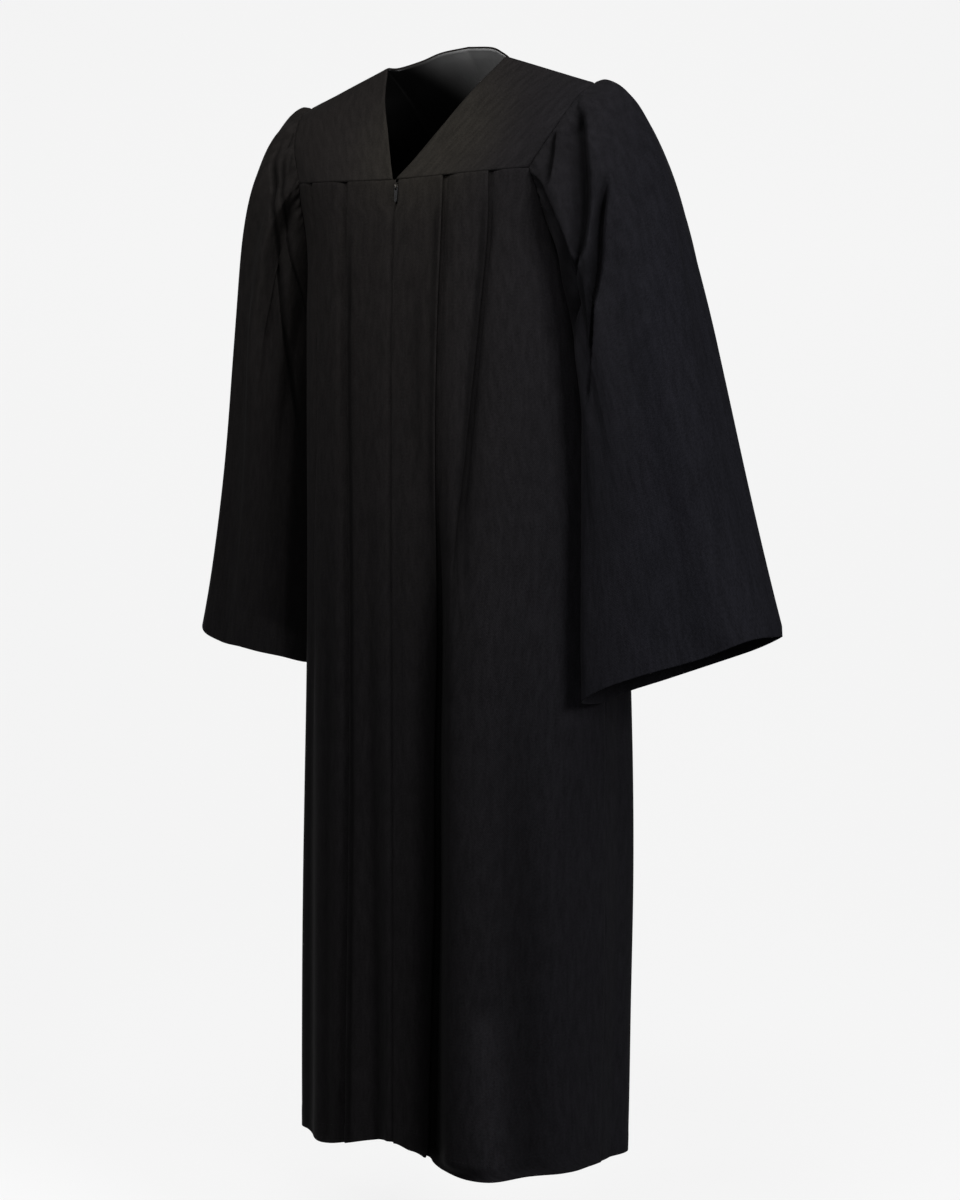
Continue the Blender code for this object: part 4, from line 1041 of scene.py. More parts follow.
@dataclass
class BodyCut:
    """Sizes that the body panels share: seams, hem, armhole, closure."""

    yoke_seam_centre: float = -0.144
    yoke_seam_side: float = -0.1375
    yoke_seam_reach: float = 0.165
    back_seam: float = -0.160
    back_hem: float = -1.271
    closure_shift: float = 0.0045
    seam_ease: float = 0.12
    hem_ease_start: float = 0.30
    underarm_fall: float = 0.14335
    front_hem: tuple[HemRow, ...] = (
        HemRow(-0.205, -1.270),
        HemRow(-0.172, -1.269),
        HemRow(-0.120, -1.272),
        HemRow(-0.084, -1.266),
        HemRow(-0.045, -1.257),
        HemRow(0.000, -1.253),
        HemRow(0.020, -1.259),
        HemRow(0.043, -1.268),
        HemRow(0.075, -1.275),
        HemRow(0.110, -1.278),
        HemRow(0.160, -1.274),
        HemRow(0.205, -1.272),
    )
    armhole: tuple[ArmholeRow, ...] = (
        ArmholeRow(-0.1375, -0.0695, 0.105),
        ArmholeRow(-0.1600, -0.0600, 0.103),
        ArmholeRow(-0.2000, -0.0440, 0.090),
        ArmholeRow(-0.2500, -0.0180, 0.062),
        ArmholeRow(-0.2850, 0.0060, 0.036),
        ArmholeRow(-0.3000, 0.0210, 0.021),
    )

    def level(self, fall: Array | float) -> Array:
        """Height of a plain row at a share of the way down."""
        return self.yoke_seam_side + fall * (self.back_hem - self.yoke_seam_side)

    def front_height(self, side: Side, place: Array | float, fall: Array | float) -> Array:
        """Height of a front's row: the yoke seam above, the uneven hem below."""
        share = np.minimum(1.0, np.abs(place) / self.yoke_seam_reach)
        top = self.yoke_seam_centre + (self.yoke_seam_side - self.yoke_seam_centre) * share**1.5
        hem = table_value(self.front_hem, "across", "height", side.value * np.minimum(place, 0.205))
        below = ease((np.asarray(fall) - self.hem_ease_start) / (1 - self.hem_ease_start))
        above = 1 - ease(np.asarray(fall) / self.seam_ease)
        seam = (top - SEAM_GAP / 2 - self.yoke_seam_side) * above
        return self.level(fall) + seam + (hem - self.back_hem) * below

    def back_height(self, fall: Array | float) -> Array:
        """Height of the back's row, level with the fronts' rows below the underarm."""
        above = 1 - ease(np.asarray(fall) / self.seam_ease)
        return self.level(fall) + (self.back_seam - SEAM_GAP / 2 - self.yoke_seam_side) * above

    def panel_end(self, body: BodyForm, height: float, fall: float, which: str) -> float:
        """Where a body panel ends: at the armhole above the underarm, else at the side seam."""
        if fall >= self.underarm_fall:
            return body.side_place(height)
        return body.place_of_y(height, float(table_value(self.armhole, "height", which, height)))

    def front_end(self, body: BodyForm, side: Side, fall: float) -> tuple[float, float]:
        """The place and height at which a front ends on one row."""
        height = float(self.front_height(side, 0.18, fall))
        place = self.panel_end(body, height, fall, "front")
        height = float(self.front_height(side, place, fall))
        return self.panel_end(body, height, fall, "front"), height

    def closure(self, fall: float) -> float:
        """How far the closure line lies to the wearer's left of the middle."""
        return self.closure_shift * float(1 - 1.6 * ease((fall - 0.05) / 0.95))


def panel_falls(drop: float, step: float) -> Array:
    """Shares of the way down at which a body panel has its rows, closer at the seam and the hem."""
    top = np.array([0, 0.8, 1.8, 3.2, 5, 7.5, 10.5, 14]) * MM
    foot = np.array([17, 13, 9, 5, 2.2, 0.8, 0]) * MM
    count = int((drop - top[-1] - foot[0]) / step)
    middle = np.linspace(top[-1], drop - foot[0], count + 1)[1:-1]
    return np.concatenate([top, middle, drop - foot]) / drop


@dataclass
class FrontPanel:
    """One long front: two knife pleats set into the yoke seam, a turned hem and the zip's edge."""

    name: str
    node: str
    side: Side
    body: BodyForm
    cut: BodyCut
    inner_pleat: tuple[PleatRow, ...]
    outer_pleat: tuple[PleatRow, ...]
    folds: tuple[Fold, ...]
    creases: tuple[Crease, ...]
    flat_width: float
    flat_length: float = 1.160
    thickness: float = 0.5 * MM
    hem_thickness: float = 1.1 * MM
    hem_turning: float = 0.022
    pleat_turn: float = 0.8 * MM
    layer_pitch: float = 2.2 * MM
    slot_half_width: float = 1.9 * MM
    underlap: float = 0.010
    overlap: float = 0.002
    placket_width: float = 0.016
    seed: int = 3

    def pleat(self, rows: tuple[PleatRow, ...], height: float) -> Array:
        """The nine (place, depth) points of a knife pleat, edge first, hollow last."""
        read = lambda column: float(table_value(rows, "height", column, height))
        edge = self.body.place_of_x(height, read("edge"))
        lap, hollow, reach = max(0.0, read("lap")), read("hollow"), read("reach")
        softness = min(1.0, max(0.0, read("softness")))
        turn = self.pleat_turn
        floor = max(2 * self.layer_pitch, hollow)
        knife = np.array(
            [
                (edge, 0.0),
                (edge + turn, turn),
                (edge, 2 * turn),
                (edge - lap, 2 * turn),
                (edge - lap - turn, 3 * turn),
                (edge - lap, 4 * turn),
                (edge + 0.004, floor),
                (edge + 0.45 * reach, 0.55 * floor),
                (edge + reach, 0.06 * floor),
            ]
        )
        shares = np.linspace(-0.3, 1.0, 9)
        wave = hollow * np.sin(math.pi * np.clip(shares * 0.77 + 0.23, 0, 1)) ** 2
        soft = np.stack([edge + reach * shares, wave], axis=1)
        return knife + (soft - knife) * softness

    def centre_edge(self, fall: float) -> tuple[float, float, float, float]:
        """The centre strip on one row: its edge, the end of its tuck, the start of its flat, its depth."""
        shift = self.cut.closure(fall)
        open_share = 1 - float(ease((fall - 0.0235) / 0.0135))
        if self.side is Side.LEFT:
            edge = shift - self.overlap + (self.slot_half_width + self.overlap) * open_share
            return edge, edge + 0.004, shift + self.placket_width, 0.0
        slot, under = self.slot_half_width - shift, -self.underlap - shift
        edge = under + (slot - under) * open_share
        sink = self.layer_pitch * float(ease((fall - 0.0145) / 0.009))
        return edge, self.overlap + 0.0015 - shift, self.overlap + 0.0095 - shift, sink

    def section(self, fall: float) -> tuple[Array, float]:
        """The (place, depth) points of one row, centre edge first, and the place of its outer end."""
        height = float(self.cut.front_height(self.side, 0.08, fall))
        end = self.cut.front_end(self.body, self.side, fall)[0] - SEAM_GAP / 2
        first, second = self.pleat(self.inner_pleat, height), self.pleat(self.outer_pleat, height)
        edge, tuck, strip, sink = self.centre_edge(fall)
        gap = first[0, 0] - strip
        start = [(edge, sink), (tuck, sink), (strip, 0), (strip + 0.40 * gap, 0), (strip + 0.78 * gap, 0)]
        space = second[0, 0] - first[8, 0]
        between = [(first[8, 0] + 0.35 * space, 0.0), (first[8, 0] + 0.72 * space, 0.0)]
        rest = end - second[8, 0]
        tail = [(second[8, 0] + share * rest, 0.0) for share in (0.22, 0.45, 0.70, 0.88, 1.0)]
        return np.vstack([start, first, between, second, tail]), end

    def lift(self, place: Array, height: Array, fall: Array, end: Array) -> Array:
        """How far large folds, creases and the cloth's unevenness lift it."""
        hem = float(self.cut.front_height(self.side, 0.08, 1.0))
        level = self.cut.front_height(self.side, 0.08, fall)
        rise = np.zeros(place.shape)
        for fold in self.folds:
            share = (fold.start - level) / (fold.start - hem)
            middle = fold.top_place + (fold.hem_place - fold.top_place) * np.clip(share, 0, 1)
            rise += fold.rise * ease(share) * bump(place - middle, fold.spread)
        drape = 1.0 * MM * value_noise(place, height, (0.045, 0.42), self.seed)
        drape += 0.5 * MM * value_noise(place, height, (0.022, 0.16), self.seed + 1)
        rise += drape * ease((-0.14 - height) / 0.35)
        pucker = 0.35 * MM * value_noise(place, height, (0.009, 0.05), self.seed + 2)
        rise += pucker * np.exp(-((self.cut.yoke_seam_side - height) / 0.022) ** 2)
        # The creases sink the cloth and lay painted shade on its colour, faded out towards the panel's end.
        sunk, shade = pressed(self.creases, place, height)
        self.shade = shade * ease((end - place) / 0.03)
        rise -= sunk
        rise *= ease((end - place) / 0.03) * ease((place - 0.011) / 0.012)
        seam = self.cut.front_height(self.side, place, 0.0) - height
        return rise - 0.6 * MM * np.exp(-((seam / (1.6 * MM)) ** 2))

    def shell(self) -> ClothShell:
        """Works out the panel's two faces."""
        falls = panel_falls(self.cut.yoke_seam_side - self.cut.back_hem, 4.8 * MM)
        sections, ends = zip(*(self.section(float(fall)) for fall in falls))
        longest = np.max([np.linalg.norm(np.diff(rows, axis=0), axis=1) for rows in sections], axis=0)
        counts = [int(np.clip(math.ceil(length / (3.6 * MM)), 3, 12)) for length in longest]
        paths = np.array([dense_path(rows, counts) for rows in sections])
        place = paths[..., 0]
        fall = np.broadcast_to(falls[:, None], place.shape)
        height = self.cut.front_height(self.side, np.maximum(0.0, place), fall)
        paths = paths + np.array([0.0, WALL_MIDDLE])
        paths[..., 1] -= self.lift(place, height, fall, np.array(ends)[:, None])
        above_hem = height - self.cut.front_height(self.side, np.maximum(0.0, place), 1.0)
        turned = ease((self.hem_turning + 0.001 - above_hem) / 0.002)
        thick = self.thickness + (self.hem_thickness - self.thickness) * turned
        faces = []
        for sign in (0.5, -0.5):
            moved = np.array([offset_path(path, sign * thick[row]) for row, path in enumerate(paths)])
            moved[:, -1, 0] = paths[:, -1, 0]
            face = self.body.point(moved[..., 0], height, moved[..., 1])
            face[..., 0] *= self.side.value
            faces.append(face)
        run = np.cumsum(np.linalg.norm(np.diff(paths, axis=1, prepend=paths[:, :1]), axis=2), axis=1)
        self.outer = faces[0]
        self.places, self.heights, self.run = place, height, run
        return ClothShell(self.name, faces[0], faces[1], np.stack([run, height], axis=-1), shade=self.shade)

    def build(self, material: bpy.types.Material) -> bpy.types.Object:
        """Makes the front."""
        self.piece = self.shell().build(material)
        return self.piece

    def dress(self) -> None:
        """Hangs the front from its yoke in the frame."""
        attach(self.piece, "gown")
        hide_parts(self.node)

    def hem_line(self) -> Array:
        """The line of stitches that holds the turned hem."""
        above = self.heights - self.heights[-1:]
        row = int(np.argmin(np.abs(above[:, 0] - self.hem_turning)))
        return self.outer[row, 1:-1]

    def placket_line(self, width: float) -> Array:
        """A line of stitches down the front at a distance from the closure."""
        points = []
        for row in range(2, len(self.outer) - 2):
            fall = row / (len(self.outer) - 1)
            place = self.cut.closure(fall) * self.side.value + width
            flat = self.places[row, : int(np.argmax(self.places[row] > 0.06))]
            at = float(np.interp(place, flat, np.arange(len(flat))))
            low = min(int(at), len(flat) - 2)
            points.append(self.outer[row, low] * (1 - at + low) + self.outer[row, low + 1] * (at - low))
        return np.array(points)


@dataclass
class BackPanel:
    """The long back, gathered into its yoke and falling in flutes."""

    body: BodyForm
    cut: BodyCut
    flutes: tuple[Fold, ...]
    columns: int = 184
    flat_width: float = 0.66
    flat_length: float = 1.13
    flute_top_share: float = 0.12
    flute_full_fall: float = 0.75
    flute_side_fade: float = 0.10
    gathers: int = 64
    gather_rise: float = 0.9 * MM
    thickness: float = 0.5 * MM
    hem_thickness: float = 1.1 * MM
    hem_turning: float = 0.022

    def lift(self, share: Array, fall: Array, place: Array, height: Array) -> Array:
        """How far flutes, gathers and unevenness lift the back at a share of its half width."""
        grown = self.flute_top_share + (1 - self.flute_top_share) * ease(fall / self.flute_full_fall)
        rise = np.zeros(share.shape)
        for flute in self.flutes:
            middle = flute.top_place + (flute.hem_place - flute.top_place) * fall
            rise += flute.rise * grown * bump(share - middle, flute.spread)
        phase = self.gathers * math.pi * (share + 0.02 * value_noise(share, fall, (0.11, 0.5), 21))
        fade = np.exp(-((fall / 0.045) ** 1.2)) * ease((0.93 - np.abs(share)) / 0.1)
        rise += self.gather_rise * np.cos(phase) * fade * (0.7 + 0.3 * value_noise(share, fall, (0.07, 0.1), 22))
        rise += 1.2 * MM * value_noise(place, height, (0.05, 0.40), 23) * ease(fall / 0.2)
        rise += 0.5 * MM * value_noise(place, height, (0.02, 0.15), 24) * ease(fall / 0.1)
        rise *= ease((1 - np.abs(share)) / self.flute_side_fade)
        seam = (self.cut.back_seam - height) / (1.6 * MM)
        return rise - 0.6 * MM * np.exp(-(seam**2))

    def shell(self) -> ClothShell:
        """Works out the back's two faces."""
        falls = panel_falls(self.cut.back_seam - self.cut.back_hem, 5.0 * MM)
        shares = np.linspace(-1, 1, self.columns)
        faces = ([], [])
        uv = []
        for fall in falls:
            height = float(self.cut.back_height(fall))
            start = self.cut.panel_end(self.body, height, fall, "back") + SEAM_GAP / 2
            half = self.body.half_round(height) - start
            place = shares * half
            levels = np.full(place.shape, height)
            lift = self.lift(shares, np.full(place.shape, fall), place, levels)
            section = np.stack([place, WALL_MIDDLE - lift], axis=1)
            turned = float(ease((self.hem_turning + 0.001 - (height - self.cut.back_hem)) / 0.002))
            thick = self.thickness + (self.hem_thickness - self.thickness) * turned
            for face, sign in zip(faces, (0.5, -0.5)):
                moved = offset_path(section, np.full(len(section), sign * thick))
                moved[0, 0], moved[-1, 0] = section[0, 0], section[-1, 0]
                turned_place = half + start - np.abs(moved[:, 0])
                points = self.body.point(turned_place, levels, moved[:, 1])
                points[:, 0] *= np.where(moved[:, 0] > 0, 1.0, -1.0)
                face.append(points)
            run = np.cumsum(np.linalg.norm(np.diff(section, axis=0, prepend=section[:1]), axis=1))
            uv.append(np.stack([run, levels], axis=1))
        self.outer = np.array(faces[0])
        return ClothShell("gown_back", self.outer, np.array(faces[1]), np.array(uv))

    def build(self, material: bpy.types.Material) -> bpy.types.Object:
        """Makes the back."""
        self.piece = self.shell().build(material)
        return self.piece

    def dress(self) -> None:
        """Hangs the back from its yoke in the frame."""
        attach(self.piece, "gown")
        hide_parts("back_panel")

    def hem_line(self) -> Array:
        """The line of stitches that holds the turned hem."""
        row = int(np.argmin(np.abs(self.outer[:, 0, 2] - self.cut.back_hem - self.hem_turning)))
        return self.outer[row, 1:-1]


@dataclass(frozen=True)
class EdgePoint:
    """A point of an edge on the wearer's left."""

    across: float
    forward: float
    height: float


def edge_points(rows: Sequence[EdgePoint]) -> list[Point]:
    """The points of a short edge table as (X, Y, Z) on the wearer's left."""
    return [(row.across, -row.forward, row.height) for row in rows]


def mirrored(points: Array) -> Array:
    """The same points on the wearer's right."""
    return np.asarray(points) * np.array([-1.0, 1.0, 1.0])


def coons(top: Array, bottom: Array, left: Array, right: Array) -> Array:
    """A surface through four edges. Rows run from top to bottom, columns from left to right."""
    down = np.linspace(0, 1, len(left))[:, None, None]
    chord = np.concatenate([[0], np.cumsum(np.linalg.norm(np.diff(top, axis=0), axis=1))])
    across = (chord / chord[-1])[None, :, None]
    ruled = (1 - down) * top[None] + down * bottom[None]
    sided = (1 - across) * left[:, None] + across * right[:, None]
    corners = (
        (1 - down) * (1 - across) * top[0]
        + (1 - down) * across * top[-1]
        + down * (1 - across) * bottom[0]
        + down * across * bottom[-1]
    )
    return ruled + sided - corners


@dataclass
class Yokes:
    """The shoulder yokes: two fronts that end in the V, and one back with its satin lining."""

    body: BodyForm
    cut: BodyCut
    neck_half_width: float = 0.085
    rows: int = 56
    front_columns: int = 72
    shoulder_columns: int = 40
    neck_columns: int = 36
    neck_rise_fade: float = 2.2
    back_swell: float = 0.010
    thickness: float = 0.5 * MM
    edge_thickness: float = 1.3 * MM
    seam_turning: float = 0.009
    neck_edge: tuple[EdgePoint, ...] = (
        EdgePoint(0.0850, 0.0000, 0.000),
        EdgePoint(0.0610, 0.0375, -0.0436),
        EdgePoint(0.0365, 0.0640, -0.0860),
        EdgePoint(0.0170, 0.0850, -0.1200),
        EdgePoint(0.0018, 0.1000, -0.1440),
    )
    front_arm_edge: tuple[EdgePoint, ...] = (
        EdgePoint(0.2030, -0.0040, -0.0390),
        EdgePoint(0.1990, 0.0240, -0.0560),
        EdgePoint(0.1860, 0.0500, -0.0920),
    )
    back_arm_edge: tuple[EdgePoint, ...] = (
        EdgePoint(0.2030, -0.0040, -0.0390),
        EdgePoint(0.1975, -0.0400, -0.0640),
        EdgePoint(0.1820, -0.0800, -0.1080),
    )
    back_neck_edge: tuple[EdgePoint, ...] = (
        EdgePoint(0.0850, 0.0000, 0.0000),
        EdgePoint(0.0790, -0.0150, 0.0010),
        EdgePoint(0.0590, -0.0325, 0.0095),
        EdgePoint(0.0360, -0.0420, 0.0188),
        EdgePoint(0.0000, -0.0460, 0.0228),
    )
    back_ridge: tuple[EdgePoint, ...] = (
        EdgePoint(0.2030, -0.0040, -0.0390),
        EdgePoint(0.1200, -0.0220, -0.0100),
        EdgePoint(0.0000, -0.0340, 0.0080),
    )

    def shoulder_out(self, side: float) -> Array:
        """The direction out of the cloth along the shoulder seam."""
        tip = self.front_arm_edge[0]
        return unit(np.array([side * -tip.height / (tip.across - self.neck_half_width), 0.0, 1.0]))

    def front_junction(self) -> Array:
        """Where the front yoke seam meets the armhole."""
        height = self.cut.yoke_seam_side - SEAM_GAP / 2
        place = self.body.place_of_y(height, self.cut.armhole[0].front)
        return self.body.point(place, height, 0.0) + np.array([0, 0, SEAM_GAP])

    def back_junction(self) -> Array:
        """Where the back yoke seam meets the armhole."""
        height = self.cut.back_seam - SEAM_GAP / 2
        along = float(table_value(self.cut.armhole, "height", "back", self.cut.back_seam))
        place = self.body.place_of_y(height, along)
        return self.body.point(place, height, 0.0) + np.array([0, 0, SEAM_GAP])

    def front_grid(self) -> tuple[Array, Array]:
        """The left front yoke's outer face and the directions out of it. Rows run neck to armhole."""
        junction = self.front_junction()
        arm = smooth_curve(edge_points(self.front_arm_edge) + [tuple(junction)], self.rows)
        across = np.linspace(self.neck_edge[-1].across, junction[0], self.front_columns)
        seam = []
        for x in across:
            height = float(self.cut.front_height(Side.LEFT, x, 0.0)) + SEAM_GAP
            seam.append(self.body.point(self.body.place_of_x(height, x), height, 0.0))
        seam[-1] = junction
        seam = np.array(seam)
        neck = smooth_curve(edge_points(self.neck_edge)[:-1] + [tuple(seam[0])], self.rows)
        grid = coons(np.linspace(neck[0], arm[0], len(seam)), seam, neck, arm)
        grid[0, :, 1] -= SEAM_GAP / 2
        out = grid_normals(grid)
        out[0] = self.shoulder_out(1.0)
        for column, point in enumerate(seam):
            out[-1, column] = self.body.outward(self.body.place_of_x(point[2], point[0]), point[2])
        return grid, out

    def back_grid(self) -> tuple[Array, Array]:
        """The back yoke's outer face and the directions out of it, wearer's right to left."""
        junction = self.back_junction()
        arm = smooth_curve(edge_points(self.back_arm_edge) + [tuple(junction)], self.rows)
        neck = smooth_curve(edge_points(self.back_neck_edge), self.neck_columns)
        shoulder = np.linspace(arm[0], neck[0], self.shoulder_columns)
        half = np.vstack([shoulder, neck[1:]])
        top = np.vstack([half, mirrored(half[-2::-1])])
        chord = np.concatenate([[0], np.cumsum(np.linalg.norm(np.diff(half, axis=0), axis=1))])
        height = self.cut.back_seam + SEAM_GAP / 2
        start = self.body.place_of_y(height, float(junction[1]))
        places = start + (self.body.half_round(height) - start) * chord / chord[-1]
        seam = self.body.point(places, height, 0.0)
        seam[0] = junction
        bottom = np.vstack([seam, mirrored(seam[-2::-1])])
        ridge = smooth_curve(edge_points(self.back_ridge), len(half), spacing=chord / chord[-1])
        crest = np.vstack([ridge, mirrored(ridge[-2::-1])])
        grid = coons(crest, bottom, arm, mirrored(arm))
        down = np.linspace(0, 1, len(grid))[:, None]
        grid += (top - crest)[None] * ((1 - down) ** self.neck_rise_fade)[..., None]
        swell = np.sin(math.pi * down) * np.sin(np.linspace(0, math.pi, grid.shape[1]))[None]
        grid[:, :, 1] += self.back_swell * swell
        grid = grid[:, ::-1]
        out = grid_normals(grid)
        if out[len(out) // 2, out.shape[1] // 2, 1] < 0:
            out = -out
        edge = slice(0, self.shoulder_columns)
        far = slice(grid.shape[1] - self.shoulder_columns, grid.shape[1])
        grid[0, edge, 1] += SEAM_GAP / 2
        grid[0, far, 1] += SEAM_GAP / 2
        out[0, edge] = self.shoulder_out(-1.0)
        out[0, far] = self.shoulder_out(1.0)
        out[-1] = unit(out[-1] * np.array([1, 1, 0]))
        return grid, out

    def surface_lengths(self, grid: Array) -> Array:
        """Place of each point on the flat cloth, from lengths along the grid."""
        across = np.cumsum(np.linalg.norm(np.diff(grid, axis=1, prepend=grid[:, :1]), axis=2), axis=1)
        down = np.cumsum(np.linalg.norm(np.diff(grid, axis=0, prepend=grid[:1]), axis=2), axis=0)
        return np.stack([across, -down], axis=-1)

    def relief(self, grid: Array, uv: Array, sewn: Sequence[Array], seed: int) -> Array:
        """How far a yoke rises: seam edges roll in and the cloth beside them is a little uneven."""
        rise = 0.35 * MM * value_noise(uv[..., 0], uv[..., 1], (0.05, 0.06), seed)
        for distance in sewn:
            rise -= 0.7 * MM * np.exp(-((distance / (1.5 * MM)) ** 2))
            ridge = np.exp(-(((distance - self.seam_turning * 0.5) / (3.0 * MM)) ** 2))
            uneven = value_noise(uv[..., 0], uv[..., 1], (0.008, 0.008), seed + 1)
            rise += ridge * (0.25 + 0.2 * uneven) * MM
        return rise

    def faces(self, grid: Array, out: Array, rise: Array, thick: Array | float) -> tuple[Array, Array]:
        """Outer and inner face of a yoke."""
        outer = grid + out * (rise - WALL_MIDDLE + 0.25 * MM)[..., None]
        return outer, outer - out * np.broadcast_to(thick, rise.shape)[..., None]

    def build(self, cloth: bpy.types.Material, satin: bpy.types.Material) -> list[bpy.types.Object]:
        """Makes the two front yokes, the back yoke and its lining."""
        grid, out = self.front_grid()
        self.front = (grid, out)
        uv = self.surface_lengths(grid)
        to_seam = uv[..., 1] - uv[-1:, :, 1]
        from_top = -uv[..., 1]
        from_neck = uv[..., 0]
        to_arm = uv[:, -1:, 0] - uv[..., 0]
        rise = self.relief(grid, uv, (to_seam, from_top, to_arm), 31)
        neck = 0.35 * MM * np.exp(-(((from_neck - 0.004) / 0.003) ** 2))
        rise = rise + neck - 0.4 * MM * np.exp(-((from_neck / (0.8 * MM)) ** 2))
        thick = self.thickness + (self.edge_thickness - self.thickness) * ease((0.010 - from_neck) / 0.003)
        outer, inner = self.faces(grid, out, rise, thick)
        self.front_outer = outer
        self.pieces = []
        for side in Side:
            turn = np.array([side.value, 1.0, 1.0])
            name = f"gown_front_yoke_{side.name.lower()}"
            self.pieces.append(ClothShell(name, outer * turn, inner * turn, uv).build(cloth))
        grid, out = self.back_grid()
        self.back = (grid, out)
        uv = self.surface_lengths(grid)
        to_seam = uv[..., 1] - uv[-1:, :, 1]
        from_top = -uv[..., 1]
        width = grid.shape[1]
        column = np.arange(width)
        at_neck = (column >= self.shoulder_columns) & (column < width - self.shoulder_columns)
        shoulder = np.where(at_neck[None], 1.0, from_top)
        from_arm = np.minimum(uv[..., 0], uv[:, -1:, 0] - uv[..., 0])
        rise = self.relief(grid, uv, (to_seam, shoulder, from_arm), 41)
        outer, inner = self.faces(grid, out, rise, self.thickness)
        self.back_outer = outer
        self.pieces.append(ClothShell("gown_back_yoke", outer, inner, uv).build(cloth))
        soft = 0.3 * MM * value_noise(uv[..., 0], uv[..., 1], (0.04, 0.05), 43)
        edge = ease(from_top / 0.012)
        near = grid - out * ((0.7 + 1.3 * edge) * MM - soft * edge)[..., None]
        near[..., 2] -= 1.8 * MM * (1 - ease(from_top / 0.008))
        far = near - out * self.thickness
        self.pieces.append(ClothShell("gown_back_yoke_lining", near, far, uv).build(satin))
        return self.pieces

    def dress(self) -> None:
        """Sets the yokes in the frame."""
        cuts = (
            ("front_yoke_left", "cloth", (0.215, 0.180), 0.024),
            ("front_yoke_right", "cloth", (0.215, 0.180), 0.024),
            ("back_yoke", "cloth", (0.420, 0.220), 0.079),
            ("back_yoke_lining", "lining", (0.420, 0.220), 0.077),
        )
        for piece, (node, slot, flat, area) in zip(self.pieces, cuts):
            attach(piece, "gown")
            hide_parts(node)


@dataclass(frozen=True)
class SleeveRun:
    """How the sleeve leaves the armhole and comes to the hem, round from the top by the front."""

    turn: float
    out_across: float
    out_forward: float
    out_height: float
    end_across: float
    end_forward: float
    end_height: float


@dataclass(frozen=True)
class SleeveFold:
    """A large fold of the sleeve: its place round the tube, half width, rise and stretch."""

    turn: float
    end_turn: float
    spread: float
    rise: float
    start: float
    end: float


